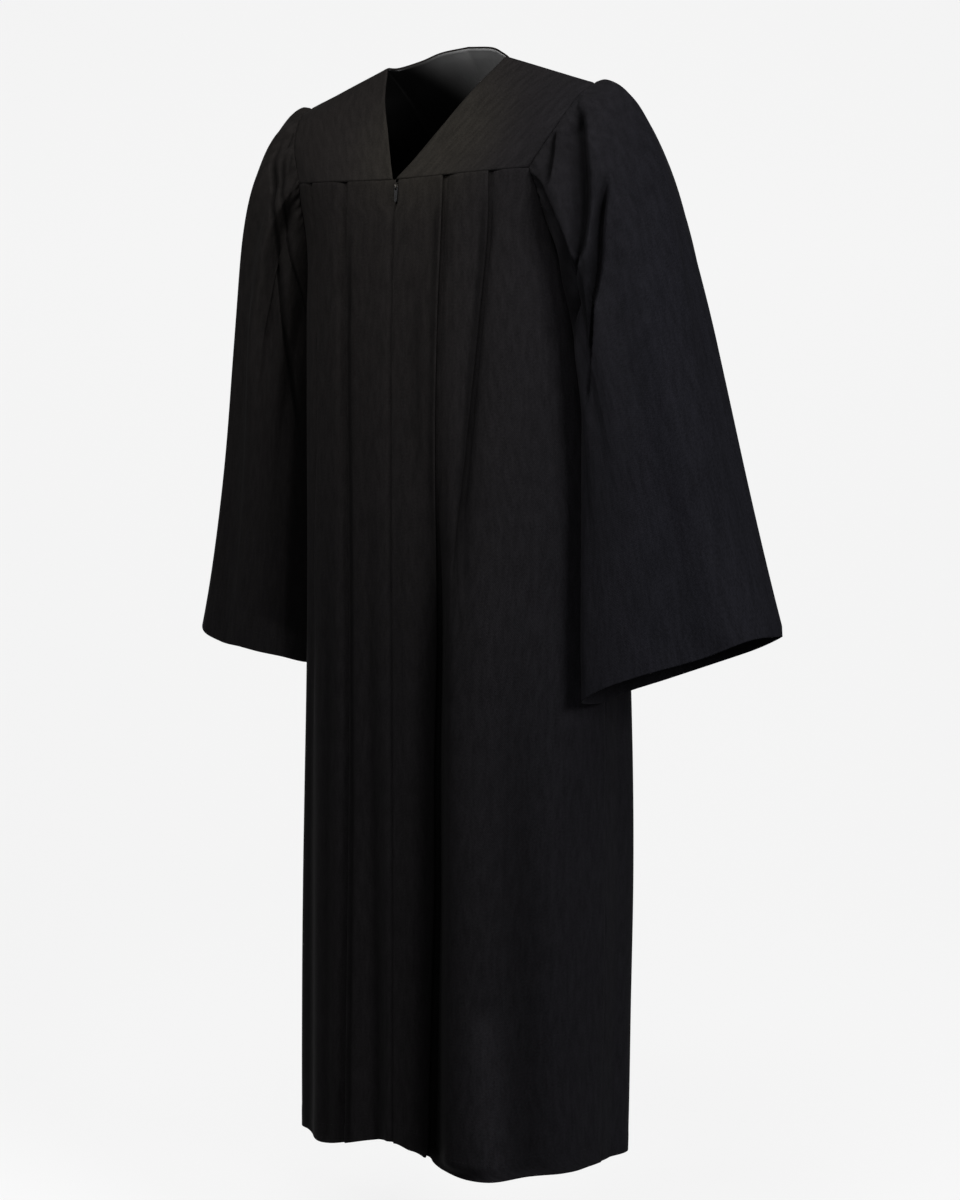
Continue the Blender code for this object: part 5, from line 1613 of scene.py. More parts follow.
@dataclass
class Sleeve:
    """A bell sleeve: gathered at its head, falling in large folds to an open slanted hem."""

    side: Side
    body: BodyForm
    cut: BodyCut
    yokes: Yokes
    hem: tuple[EdgePoint, ...]
    creases: tuple[Crease, ...]
    runs: tuple[SleeveRun, ...]
    folds: tuple[SleeveFold, ...]
    rows: int = 188
    columns: int = 252
    gathers: int = 9
    gather_rise: float = 3.0 * MM
    gather_length: float = 0.16
    gather_reach: float = 0.30
    fine_gathers: int = 31
    fine_gather_rise: float = 1.5 * MM
    round_metres: float = 0.52
    fall_metres: float = 0.64
    thickness: float = 0.5 * MM
    hem_thickness: float = 1.2 * MM
    hem_turning: float = 0.020
    seed: int = 51

    def armhole(self) -> tuple[Array, Array]:
        """The left armhole from the shoulder round by the front: points and directions out of the body."""
        grid, out = self.yokes.front
        points, outs = list(grid[:, -1]), list(out[:, -1])
        falls = np.linspace(0, self.cut.underarm_fall, 70)[1:]
        for fall in falls:
            place, height = self.cut.front_end(self.body, Side.LEFT, float(fall))
            points.append(self.body.point(place, height, 0.0))
            outs.append(self.body.outward(place, height))
        for fall in falls[-2::-1]:
            height = float(self.cut.back_height(fall))
            place = self.cut.panel_end(self.body, height, float(fall), "back")
            points.append(self.body.point(place, height, 0.0))
            outs.append(self.body.outward(place, height))
        grid, out = self.yokes.back
        points.extend(grid[:0:-1, -1])
        outs.extend(out[:0:-1, -1])
        return np.array(points), np.array(outs)

    def head(self) -> tuple[Array, Array, Array]:
        """Even points round the armhole, the directions out of the body there, and each point's turn."""
        points, outs = self.armhole()
        low = int(np.argmin(points[:, 2]))
        closed = np.vstack([points, points[:1]])
        lengths = np.concatenate([[0], np.cumsum(np.linalg.norm(np.diff(closed, axis=0), axis=1))])
        half = lengths[low]
        turns = np.where(lengths <= half, 0.5 * lengths / half, 0.5 + 0.5 * (lengths - half) / (lengths[-1] - half))
        wanted = self.spaced(np.arange(self.columns) / self.columns, 0.21, 0.10, 1.7)
        outs = np.vstack([outs, outs[:1]])
        read = lambda values: np.stack([np.interp(wanted, turns, values[:, axis]) for axis in range(3)], axis=1)
        return read(closed), unit(read(outs)), wanted

    @staticmethod
    def spaced(even: Array, middle: float, spread: float, extra: float) -> Array:
        """Even shares drawn closer together round a middle, by one plus the extra there."""
        fine = np.linspace(0, 1, 801)
        weight = np.cumsum(1 + extra * bump(fine - middle, spread))
        weight = (weight - weight[0]) / (weight[-1] - weight[0])
        return np.interp(even, weight, fine)

    def run_value(self, column: str, turn: Array) -> Array:
        """A column of the run table at each turn, round the loop."""
        turns = np.array([row.turn for row in self.runs] + [1.0])
        values = np.array([getattr(row, column) for row in self.runs] + [getattr(self.runs[0], column)])
        return np.interp(turn, turns, values)

    def lift(self, turn: Array, fall: Array) -> Array:
        """How far gathers, folds, creases and unevenness lift the sleeve."""
        from_top = np.minimum(turn, 1 - turn)
        head = ease((self.gather_reach - from_top) / 0.06) * ease(fall / 0.05)
        wander = 0.012 * value_noise(turn, fall, (0.09, 0.3), self.seed)
        phase = (turn + wander) * math.pi * self.gathers / self.gather_reach
        rise = self.gather_rise * head * np.exp(-((fall / self.gather_length) ** 1.3)) * np.cos(phase)
        fine = (turn + wander) * math.pi * self.fine_gathers / self.gather_reach
        uneven = 0.6 + 0.4 * value_noise(turn, fall, (0.05, 0.2), self.seed + 1)
        near = ease((self.gather_reach - from_top) / 0.05) * ease(fall / 0.006) * np.exp(-((fall / 0.035) ** 1.2))
        rise = rise + self.fine_gather_rise * near * uneven * np.cos(fine)
        for fold in self.folds:
            share = (fall - fold.start) / (fold.end - fold.start)
            middle = fold.turn + (fold.end_turn - fold.turn) * np.clip(share, 0, 1)
            along = ease(share / 0.15) * (1 - ease((share - 0.6) / 0.4) * (fold.end < 1.0))
            away = np.abs((turn - middle + 0.5) % 1.0 - 0.5)
            rise = rise + fold.rise * along * bump(away, fold.spread)
        across, down = turn * self.round_metres, fall * self.fall_metres
        loose = ease(fall / 0.25)
        rise = rise + 1.0 * MM * value_noise(across, down, (0.05, 0.22), self.seed + 2) * loose
        rise = rise + 0.4 * MM * value_noise(across, down, (0.02, 0.09), self.seed + 3) * loose
        # The creases sink the cloth and lay painted shade on its colour.
        sunk, self.shade = pressed(self.creases, turn, fall, (self.round_metres, self.fall_metres), turns=2)
        rise = rise - sunk
        return rise - 0.5 * MM * np.exp(-((fall * self.fall_metres / (1.5 * MM)) ** 2))

    def shell(self) -> ClothShell:
        """Works out the sleeve's two faces."""
        heads, head_outs, turns = self.head()
        tangents = unit(np.roll(heads, -1, axis=0) - np.roll(heads, 1, axis=0))
        away = unit(np.cross(tangents, head_outs))
        if np.sum(away * (heads - heads.mean(axis=0) - np.array([0.2, 0, 0])), axis=1).mean() > 0:
            away = -away
        corners = edge_points(self.hem)
        dense = smooth_curve(corners, 961, closed=True)
        low_step = int(np.argmin(np.linalg.norm(dense - np.array(corners[6]), axis=1))) / 960
        shares = np.where(turns <= 0.5, turns * 2 * low_step, low_step + (turns - 0.5) * 2 * (1 - low_step))
        hems = smooth_curve(corners, len(shares), closed=True, spacing=shares)
        starts = np.stack([self.run_value(f"out_{key}", turns) for key in ("across", "forward", "height")], axis=1)
        ends = np.stack([self.run_value(f"end_{key}", turns) for key in ("across", "forward", "height")], axis=1)
        starts[:, 1] *= -1
        ends[:, 1] *= -1
        sleeve_outs = unit(np.cross(unit(starts), tangents))
        if np.sum(sleeve_outs[0] * head_outs[0]) < 0:
            sleeve_outs = -sleeve_outs
        likeness = np.sum(head_outs * sleeve_outs, axis=1, keepdims=True)
        seams = heads - away * 0.12 * MM + head_outs * 0.0006 * np.clip(0.3 - likeness, 0, 1)
        near = np.array([0, 1, 2.2, 4, 6.5, 10]) * MM / self.fall_metres
        foot = 1 - np.array([18, 12, 6, 2.2, 0.8, 0]) * MM / self.fall_metres
        even = np.linspace(0, 1, self.rows - len(near) - len(foot) + 2)[1:-1]
        middle = near[-1] + (foot[0] - near[-1]) * self.spaced(even, 0.15, 0.20, 1.5)
        falls = np.concatenate([near, middle, foot])
        f = falls[:, None, None]
        grid = seams * (1 - f) ** 3 + (seams + starts) * 3 * f * (1 - f) ** 2
        grid = grid + (hems + ends) * 3 * f**2 * (1 - f) + hems * f**3
        turn, fall = np.meshgrid(turns, falls)
        normals = self.normals(grid, head_outs)
        grid = grid + normals * (self.lift(turn, fall) - WALL_MIDDLE + 0.25 * MM)[..., None]
        normals = self.normals(grid, head_outs)
        normals[0] = unit(normals[0] + np.clip(likeness, 0, 1) * head_outs)
        above_hem = (1 - falls) * self.fall_metres
        thick = self.thickness + (self.hem_thickness - self.thickness) * ease(
            (self.hem_turning + 0.001 - above_hem) / 0.002
        )
        inner = grid - normals * thick[:, None, None]
        self.outer = grid * np.array([self.side.value, 1.0, 1.0])
        self.falls = falls
        inner = inner * np.array([self.side.value, 1.0, 1.0])
        uv = np.stack([turn * self.round_metres, -fall * self.fall_metres], axis=-1)
        return ClothShell(f"gown_sleeve_{self.side.name.lower()}", self.outer, inner, uv, True, self.shade)

    @staticmethod
    def normals(grid: Array, head_outs: Array) -> Array:
        """The directions out of the sleeve."""
        normals = grid_normals(grid, round_columns=True)
        return -normals if np.sum(normals[1, 0] * head_outs[0]) < 0 else normals

    def build(self, material: bpy.types.Material) -> bpy.types.Object:
        """Makes the sleeve."""
        self.piece = self.shell().build(material)
        return self.piece

    def dress(self) -> None:
        """Hangs the sleeve from its armhole in the frame."""
        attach(self.piece, "gown")
        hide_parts(f"sleeve_{self.side.name.lower()}")

    def hem_line(self) -> Array:
        """The line of stitches that holds the turned hem."""
        row = int(np.argmin(np.abs((1 - self.falls) * self.fall_metres - self.hem_turning)))
        return np.vstack([self.outer[row], self.outer[row, :1]])


@dataclass
class Zip:
    """The closed zip: its tape and coil behind the centre front, its slider and the hanging pull."""

    body: BodyForm
    cut: BodyCut
    half_width: float = 0.013
    thickness: float = 0.8 * MM
    depth: float = 4.1 * MM
    top: float = -0.1556
    end: float = -0.7959
    pin_height: float = -0.1522
    pin_out: float = 1.2 * MM
    coil_pitch: float = 1.4 * MM

    def front_face(self, height: float) -> float:
        """Y of the cloth's outer face at the closure at a height."""
        return float(self.body.point(self.cut.closure_shift, height, 0.0)[1])

    def centre(self, height: Array) -> Array:
        """The closure line's place from the front centre at each height."""
        fall = (self.cut.yoke_seam_side - height) / (self.cut.yoke_seam_side - self.cut.back_hem)
        return self.cut.closure_shift * (1 - 1.6 * ease((fall - 0.05) / 0.95))

    def build_tape(self, material: bpy.types.Material) -> bpy.types.Object:
        """Makes the woven tape."""
        heights = np.linspace(self.top, self.end, 150)[:, None]
        places = np.linspace(-self.half_width, self.half_width, 15)[None]
        place = places + self.centre(heights)
        level = np.broadcast_to(heights, place.shape)
        bead = 0.35 * MM * bump(places, 0.0022)
        outer = self.body.point(place, level, self.depth + 0.0 * place - bead)
        inner = self.body.point(place, level, self.depth + self.thickness + 0.0 * place)
        uv = np.stack([np.broadcast_to(places, place.shape), level], axis=-1)
        self.tape = ClothShell("gown_zip_tape", outer, inner, uv).build(material)
        return self.tape

    def coil_lines(self) -> list[Array]:
        """Two lines of teeth, one for each side of the chain."""
        lines = []
        for side in (-1, 1):
            heights = np.arange(self.top - 0.002 - side * self.coil_pitch / 4, self.end + 0.004, -0.004)
            place = self.centre(heights) + side * 0.75 * MM
            lines.append(self.body.point(place, heights, np.full(len(heights), self.depth + 0.35 * MM)))
        return lines

    def build_coil(self, nylon: bpy.types.Material) -> bpy.types.Object:
        """Makes the coil's teeth, let into the tape's bead."""
        size = (0.55 * self.coil_pitch, 1.7 * MM, 1.1 * MM)
        self.coil = RepeatAlongLine(Shape.TOOTH, nylon).along("gown_zip_coil", self.coil_lines(), self.coil_pitch, size)
        return self.coil

    def rounded_block(self, low: Point, high: Point, radius: float) -> bmesh.types.BMesh:
        """A block with rounded edges."""
        shape = bmesh.new()
        bmesh.ops.create_cube(shape, size=1.0)
        middle = (Vector(low) + Vector(high)) / 2
        extent = Vector(high) - Vector(low)
        for vert in shape.verts:
            vert.co = Vector([middle[a] + vert.co[a] * extent[a] for a in range(3)])
        bmesh.ops.bevel(shape, geom=shape.edges, offset=radius, segments=3, profile=0.5, affect="EDGES")
        return shape

    def outline_plate(self, outline: Sequence[tuple[float, float]], depths: tuple[float, float]) -> bmesh.types.BMesh:
        """A closed plate from an (X, Z) outline between two depths."""
        shape = bmesh.new()
        front = [shape.verts.new((x, depths[0], z)) for x, z in outline]
        back = [shape.verts.new((x, depths[1], z)) for x, z in outline]
        shape.faces.new(front)
        shape.faces.new(back[::-1])
        for at in range(len(outline)):
            beside = (at + 1) % len(outline)
            shape.faces.new((front[at], back[at], back[beside], front[beside]))
        bmesh.ops.recalc_face_normals(shape, faces=shape.faces)
        return shape

    def joined(self, name: str, shapes: Sequence[bmesh.types.BMesh], material: bpy.types.Material) -> bpy.types.Object:
        """Several shapes as one piece."""
        mesh = bpy.data.meshes.new(name)
        whole = bmesh.new()
        for shape in shapes:
            part = bpy.data.meshes.new("part")
            shape.to_mesh(part)
            shape.free()
            whole.from_mesh(part)
            bpy.data.meshes.remove(part)
        bmesh.ops.recalc_face_normals(whole, faces=whole.faces)
        whole.to_mesh(mesh)
        whole.free()
        mesh.shade_smooth()
        mesh.set_sharp_from_angle(angle=math.radians(40))
        mesh.materials.append(material)
        piece = bpy.data.objects.new(name, mesh)
        bpy.context.scene.collection.objects.link(piece)
        return piece

    def build_slider(self, metal: bpy.types.Material) -> bpy.types.Object:
        """Makes the slider: two shield-shaped plates, the post between them and the bridge."""
        x, face, pin = self.cut.closure_shift, self.front_face(self.pin_height), self.pin_height
        shield = [
            (x + side * across, pin + up)
            for side, rows in (
                (1, ((0.0, 5.4), (1.6, 5.9), (3.2, 5.2), (3.2, 2.6), (2.1, -2.7))),
                (-1, ((2.1, -2.7), (3.2, 2.6), (3.2, 5.2), (1.6, 5.9))),
            )
            for across, up in ((a * MM, b * MM) for a, b in rows)
        ]
        plates = []
        for depths in ((2.2, 3.0), (4.2, 4.95)):
            plate = self.outline_plate(shield, (face + depths[0] * MM, face + depths[1] * MM))
            bmesh.ops.bevel(plate, geom=plate.edges, offset=0.22 * MM, segments=2, affect="EDGES")
            plates.append(plate)
        post = self.rounded_block((x - 0.7 * MM, face + 2.9 * MM, pin + 3.0 * MM), (x + 0.7 * MM, face + 4.3 * MM, pin + 5.2 * MM), 0.15 * MM)
        arch = [
            (2.6, 5.2), (0.2, 5.0), (-1.4, 3.9), (-2.6, 2.0), (-2.85, 0.6), (-2.85, -0.7), (-2.2, -1.6), (-0.4, -1.85), (2.4, -2.0),
        ]
        inside = [(2.6, 3.9), (0.8, 3.7), (-0.6, 2.8), (-1.7, 1.5), (-1.95, 0.6), (-1.95, -0.4), (-1.6, -0.85), (-0.2, -0.95), (2.4, -1.0)]
        bridge = bmesh.new()
        ring = []
        for (out_depth, out_up), (in_depth, in_up) in zip(arch, inside):
            ring.append(
                [
                    bridge.verts.new((x + half * MM, face + depth * MM, pin + up * MM))
                    for half, depth, up in (
                        (-1.15, out_depth, out_up), (1.15, out_depth, out_up), (1.15, in_depth, in_up), (-1.15, in_depth, in_up),
                    )
                ]
            )
        for here, there in zip(ring, ring[1:]):
            for corner in range(4):
                beside = (corner + 1) % 4
                bridge.faces.new((here[corner], here[beside], there[beside], there[corner]))
        bridge.faces.new(ring[0][::-1])
        bridge.faces.new(ring[-1])
        bmesh.ops.recalc_face_normals(bridge, faces=bridge.faces)
        bmesh.ops.bevel(bridge, geom=bridge.edges, offset=0.12 * MM, segments=2, affect="EDGES")
        self.slider = self.joined("gown_zip_slider", [*plates, post, bridge], metal)
        return self.slider

    def build_pull(self, enamel: bpy.types.Material) -> bpy.types.Object:
        """Makes the hanging pull: a flat tab with a window round the bridge and a grip at its end."""
        face = self.front_face(self.pin_height)
        half = 2.3
        steps = np.linspace(-0.5 * math.pi, 0.5 * math.pi, 9)
        tip = [(1.75 * math.sin(-angle) * -1, -15.6 - 1.7 * math.cos(angle)) for angle in steps]
        outer = [(-half, 0.45), (half, 0.45), (half, -5.8), (1.75, -13.0)]
        outer += [(across, up) for across, up in tip[::-1] if up < -15.6] + [(-1.75, -13.0), (-half, -5.8)]
        inner = [(-1.5, -0.45), (1.5, -0.45), (1.5, -3.8), (-1.5, -3.8)]
        shape = bmesh.new()
        sheets = []
        for depth in (-0.42, 0.42):
            rings = []
            for outline in (outer, inner):
                verts = [shape.verts.new((across * MM, depth * MM, up * MM)) for across, up in outline]
                edges = [shape.edges.new((verts[at], verts[(at + 1) % len(verts)])) for at in range(len(verts))]
                rings.append((verts, edges))
            bmesh.ops.triangle_fill(shape, edges=rings[0][1] + rings[1][1], use_beauty=True, use_dissolve=False)
            sheets.append(rings)
        for which in (0, 1):
            front, back = sheets[0][which][0], sheets[1][which][0]
            for at in range(len(front)):
                beside = (at + 1) % len(front)
                shape.faces.new((front[at], front[beside], back[beside], back[at]))
        bmesh.ops.recalc_face_normals(shape, faces=shape.faces)
        tilt = math.atan2(face - self.front_face(self.pin_height - 0.0175), 0.0175)
        place = Matrix.Translation((self.cut.closure_shift, face - self.pin_out, self.pin_height))
        turn = place @ Matrix.Rotation(-tilt, 4, "X")
        ribs = []
        for row in range(3):
            low = -14.6 + 1.1 * row
            ribs.append(self.rounded_block((-1.2 * MM, -0.55 * MM, low * MM), (1.2 * MM, -0.3 * MM, (low + 0.5) * MM), 0.1 * MM))
        for part in [shape, *ribs]:
            bmesh.ops.transform(part, matrix=turn, verts=part.verts)
        self.pull = self.joined("gown_zip_pull", [shape, *ribs], enamel)
        return self.pull

    def dress(self) -> None:
        """Sets the zip's pieces in the frame."""
        for piece, node, slot in ((self.tape, "zip_tape", "tape"), (self.slider, "zip_slider", "metal")):
            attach(piece, "gown")
            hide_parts(node)
        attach(self.coil, "gown")
        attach(self.pull, "pull_tab")
        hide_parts("zip_pull")


@dataclass
class Sewing:
    """The lines of stitches that show on the outside."""

    thread: bpy.types.Material
    pitch: float = 3.1 * MM
    length: float = 2.3 * MM
    width: float = 0.32 * MM

    def build(self, name: str, lines: Sequence[Array]) -> bpy.types.Object:
        """Makes one piece of stitches along lines and sets it in the frame."""
        size = (self.length, self.width, self.width)
        piece = RepeatAlongLine(Shape.STITCH, self.thread).along(name, lines, self.pitch, size)
        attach(piece, "gown")
        return piece


@dataclass
class Studio:
    """Pale seamless paper, soft light and the photograph's camera."""

    floor_height: float = -1.45
    azimuth: float = 35.0
    camera_height: float = -0.442
    distance: float = 3.104
    side_step: float = 0.0398
    tilt: float = 0.0593
    focal_pixels: float = 2645.2
    picture_height: float = 1200.0
    sensor: float = 36.0

    def build_backdrop(self, paper: bpy.types.Material) -> bpy.types.Object:
        """Makes the floor and its sweep up into the background."""
        radius, reach, wide = 1.6, 5.0, 2.4
        profile = [(-1.5, 0.0), (reach - radius, 0.0)]
        profile += [
            (reach - radius + radius * math.sin(angle), radius - radius * math.cos(angle))
            for angle in np.linspace(0.1, math.pi / 2, 14)
        ]
        profile += [(reach, 3.2)]
        turn = math.radians(self.azimuth)
        rows = np.array(
            [
                [
                    (
                        across * math.cos(turn) - along * math.sin(turn),
                        across * math.sin(turn) + along * math.cos(turn),
                        self.floor_height + up,
                    )
                    for across in np.linspace(-wide, wide, 5)
                ]
                for along, up in profile
            ]
        )
        count, columns = rows.shape[:2]
        row, column = np.meshgrid(np.arange(count - 1), np.arange(columns - 1), indexing="ij")
        a = (row * columns + column).ravel()
        quads = np.stack([a, a + 1, a + columns + 1, a + columns], axis=-1)
        paper_sheet = mesh_piece("studio_paper", rows.reshape(-1, 3), quads, paper, None)
        paper_sheet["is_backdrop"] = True
        return paper_sheet

    def build_camera(self) -> bpy.types.Object:
        """Sets the camera where the photograph was taken from."""
        turn = math.radians(self.azimuth)
        right = Vector((math.cos(turn), math.sin(turn), 0.0))
        ahead = Vector((-math.sin(turn), math.cos(turn), 0.0))
        lens = bpy.data.cameras.new("camera")
        lens.sensor_width = self.sensor
        lens.lens = self.focal_pixels / self.picture_height * self.sensor
        camera = bpy.data.objects.new("camera", lens)
        place = -self.distance * ahead + self.side_step * right
        camera.location = (place.x, place.y, self.camera_height)
        camera.rotation_euler = (math.pi / 2 - self.tilt, 0.0, turn)
        bpy.context.scene.collection.objects.link(camera)
        bpy.context.scene.camera = camera
        return camera

    def add_light(self, name: str, place: Point, aim: Point, size: float, power: float) -> None:
        """Adds one soft box."""
        light = bpy.data.lights.new(name, "AREA")
        light.shape = "SQUARE"
        light.size = size
        light.energy = power
        lamp = bpy.data.objects.new(name, light)
        lamp.location = place
        lamp.rotation_euler = (Vector(aim) - Vector(place)).to_track_quat("-Z", "Y").to_euler()
        bpy.context.scene.collection.objects.link(lamp)

    def build_lights(self) -> None:
        """Sets the soft boxes and the room's own light."""
        scene = bpy.context.scene
        world = bpy.data.worlds.new("studio")
        world.use_nodes = True
        background = world.node_tree.nodes["Background"]
        background.inputs[0].default_value = linear("#f6f7fa")
        background.inputs[1].default_value = 0.10
        scene.world = world
        scene.view_settings.view_transform = "Standard"
        self.add_light("key_box", (0.65, -1.3, 1.35), (0.0, 0.0, -0.15), 0.8, 35.5)
        self.add_light("side_box", (2.9, -1.0, 0.5), (0.1, 0.0, -0.4), 1.0, 78.0)
        self.add_light("chest_box", (-0.5, -1.4, 0.5), (-0.08, -0.1, -0.35), 0.5, 8.5)
        self.add_light("collar_box", (-0.3, -1.2, 0.9), (0.0, 0.0, -0.02), 0.35, 1.0)
        self.add_light("back_fill", (-0.9, 3.4, 1.6), (0.0, 0.0, -0.6), 2.4, 10.0)


LEFT_FRONT = {
    "inner_pleat": (
        PleatRow(-0.144, 0.0655, 0.014, 0.0012, 0.020, 0.0),
        PleatRow(-0.170, 0.0650, 0.014, 0.0044, 0.020, 0.0),
        PleatRow(-0.300, 0.0610, 0.013, 0.0050, 0.020, 0.0),
        PleatRow(-0.500, 0.0565, 0.012, 0.0050, 0.020, 0.0),
        PleatRow(-0.620, 0.0535, 0.011, 0.0090, 0.020, 0.0),
        PleatRow(-0.800, 0.0450, 0.009, 0.0090, 0.020, 0.0),
        PleatRow(-0.970, 0.0430, 0.008, 0.0090, 0.022, 0.0),
        PleatRow(-1.080, 0.0395, 0.008, 0.0090, 0.022, 0.0),
        PleatRow(-1.264, 0.0350, 0.007, 0.0090, 0.024, 0.0),
    ),
    "outer_pleat": (
        PleatRow(-0.144, 0.1215, 0.012, 0.0012, 0.018, 0.0),
        PleatRow(-0.170, 0.1205, 0.012, 0.0044, 0.018, 0.0),
        PleatRow(-0.283, 0.1115, 0.010, 0.0060, 0.020, 0.0),
        PleatRow(-0.450, 0.0950, 0.006, 0.0090, 0.026, 0.0),
        PleatRow(-0.560, 0.0850, 0.001, 0.0090, 0.032, 0.2),
        PleatRow(-0.700, 0.0820, 0.000, 0.0040, 0.040, 1.0),
        PleatRow(-1.264, 0.1000, 0.000, 0.0000, 0.040, 1.0),
    ),
    "folds": (
        Fold(0.030, 0.022, 0.006, 0.020, -0.45),
        Fold(0.100, 0.118, 0.022, 0.036, -0.30),
        Fold(0.185, 0.200, 0.008, 0.022, -0.45),
    ),
}
RIGHT_FRONT = {
    "inner_pleat": (
        PleatRow(-0.144, 0.0680, 0.014, 0.0012, 0.020, 0.0),
        PleatRow(-0.170, 0.0678, 0.014, 0.0044, 0.020, 0.0),
        PleatRow(-0.500, 0.0655, 0.012, 0.0090, 0.018, 0.0),
        PleatRow(-0.900, 0.0715, 0.011, 0.0120, 0.020, 0.0),
        PleatRow(-1.264, 0.0780, 0.010, 0.0140, 0.022, 0.0),
    ),
    "outer_pleat": (
        PleatRow(-0.144, 0.1280, 0.012, 0.0012, 0.016, 0.0),
        PleatRow(-0.170, 0.1272, 0.012, 0.0044, 0.016, 0.0),
        PleatRow(-0.300, 0.1240, 0.009, 0.0060, 0.020, 0.0),
        PleatRow(-0.450, 0.1260, 0.005, 0.0080, 0.026, 0.0),
        PleatRow(-0.580, 0.1350, 0.001, 0.0080, 0.030, 0.2),
        PleatRow(-0.700, 0.1400, 0.000, 0.0040, 0.030, 1.0),
        PleatRow(-1.264, 0.1500, 0.000, 0.0000, 0.030, 1.0),
    ),
    "folds": (
        Fold(0.035, 0.040, -0.007, 0.022, -0.50),
        Fold(0.062, 0.072, 0.005, 0.020, -0.55),
        Fold(0.115, 0.128, 0.009, 0.026, -0.40),
        Fold(0.185, 0.196, 0.010, 0.024, -0.50),
    ),
}
BACK_FLUTES = (
    Fold(-0.74, -0.78, 0.015, 0.075),
    Fold(-0.55, -0.56, 0.020, 0.070),
    Fold(-0.38, -0.36, 0.016, 0.062),
    Fold(-0.20, -0.17, 0.022, 0.070),
    Fold(-0.02, 0.02, 0.018, 0.062),
    Fold(0.15, 0.20, 0.022, 0.070),
    Fold(0.34, 0.39, 0.017, 0.064),
    Fold(0.52, 0.59, 0.020, 0.070),
    Fold(0.71, 0.79, 0.014, 0.070),
)
LEFT_SLEEVE_HEM = (
    EdgePoint(0.407, -0.060, -0.6560),
    EdgePoint(0.393, -0.026, -0.6590),
    EdgePoint(0.346, 0.002, -0.6800),
    EdgePoint(0.288, 0.031, -0.6990),
    EdgePoint(0.243, 0.044, -0.7160),
    EdgePoint(0.214, 0.038, -0.7320),
    EdgePoint(0.213, -0.004, -0.7360),
    EdgePoint(0.221, -0.050, -0.7260),
    EdgePoint(0.250, -0.090, -0.7130),
    EdgePoint(0.302, -0.106, -0.6940),
    EdgePoint(0.354, -0.106, -0.6760),
    EdgePoint(0.398, -0.088, -0.6590),
)
RIGHT_SLEEVE_HEM = (
    EdgePoint(0.407, -0.056, -0.6700),
    EdgePoint(0.396, -0.022, -0.6730),
    EdgePoint(0.346, 0.004, -0.6890),
    EdgePoint(0.296, 0.023, -0.6930),
    EdgePoint(0.256, 0.034, -0.6970),
    EdgePoint(0.219, 0.036, -0.7010),
    EdgePoint(0.212, -0.004, -0.7100),
    EdgePoint(0.220, -0.050, -0.7110),
    EdgePoint(0.250, -0.090, -0.7050),
    EdgePoint(0.302, -0.106, -0.6960),
    EdgePoint(0.354, -0.106, -0.6860),
    EdgePoint(0.398, -0.086, -0.6730),
)
SLEEVE_RUNS = (
    SleeveRun(0.00, 0.104, 0.000, 0.010, -0.130, 0.000, 0.390),
    SleeveRun(0.12, 0.097, 0.016, -0.022, -0.090, 0.018, 0.370),
    SleeveRun(0.26, 0.062, 0.024, -0.080, -0.055, 0.010, 0.300),
    SleeveRun(0.38, 0.030, 0.006, -0.070, -0.010, -0.004, 0.260),
    SleeveRun(0.50, 0.014, 0.000, -0.040, -0.004, 0.000, 0.200),
    SleeveRun(0.62, 0.030, -0.010, -0.070, -0.010, 0.000, 0.260),
    SleeveRun(0.74, 0.060, -0.024, -0.080, -0.050, -0.006, 0.300),
    SleeveRun(0.88, 0.100, -0.024, -0.022, -0.100, -0.010, 0.380),
)
SLEEVE_FOLDS = (
    SleeveFold(0.235, 0.30, 0.030, -0.010, 0.02, 0.55),
    SleeveFold(0.190, 0.25, 0.026, 0.005, 0.02, 0.80),
    SleeveFold(0.120, 0.12, 0.030, 0.005, 0.05, 1.00),
    SleeveFold(0.330, 0.36, 0.030, 0.005, 0.10, 0.80),
    SleeveFold(0.800, 0.76, 0.035, -0.009, 0.04, 0.75),
    SleeveFold(0.880, 0.86, 0.030, 0.006, 0.04, 0.95),
)
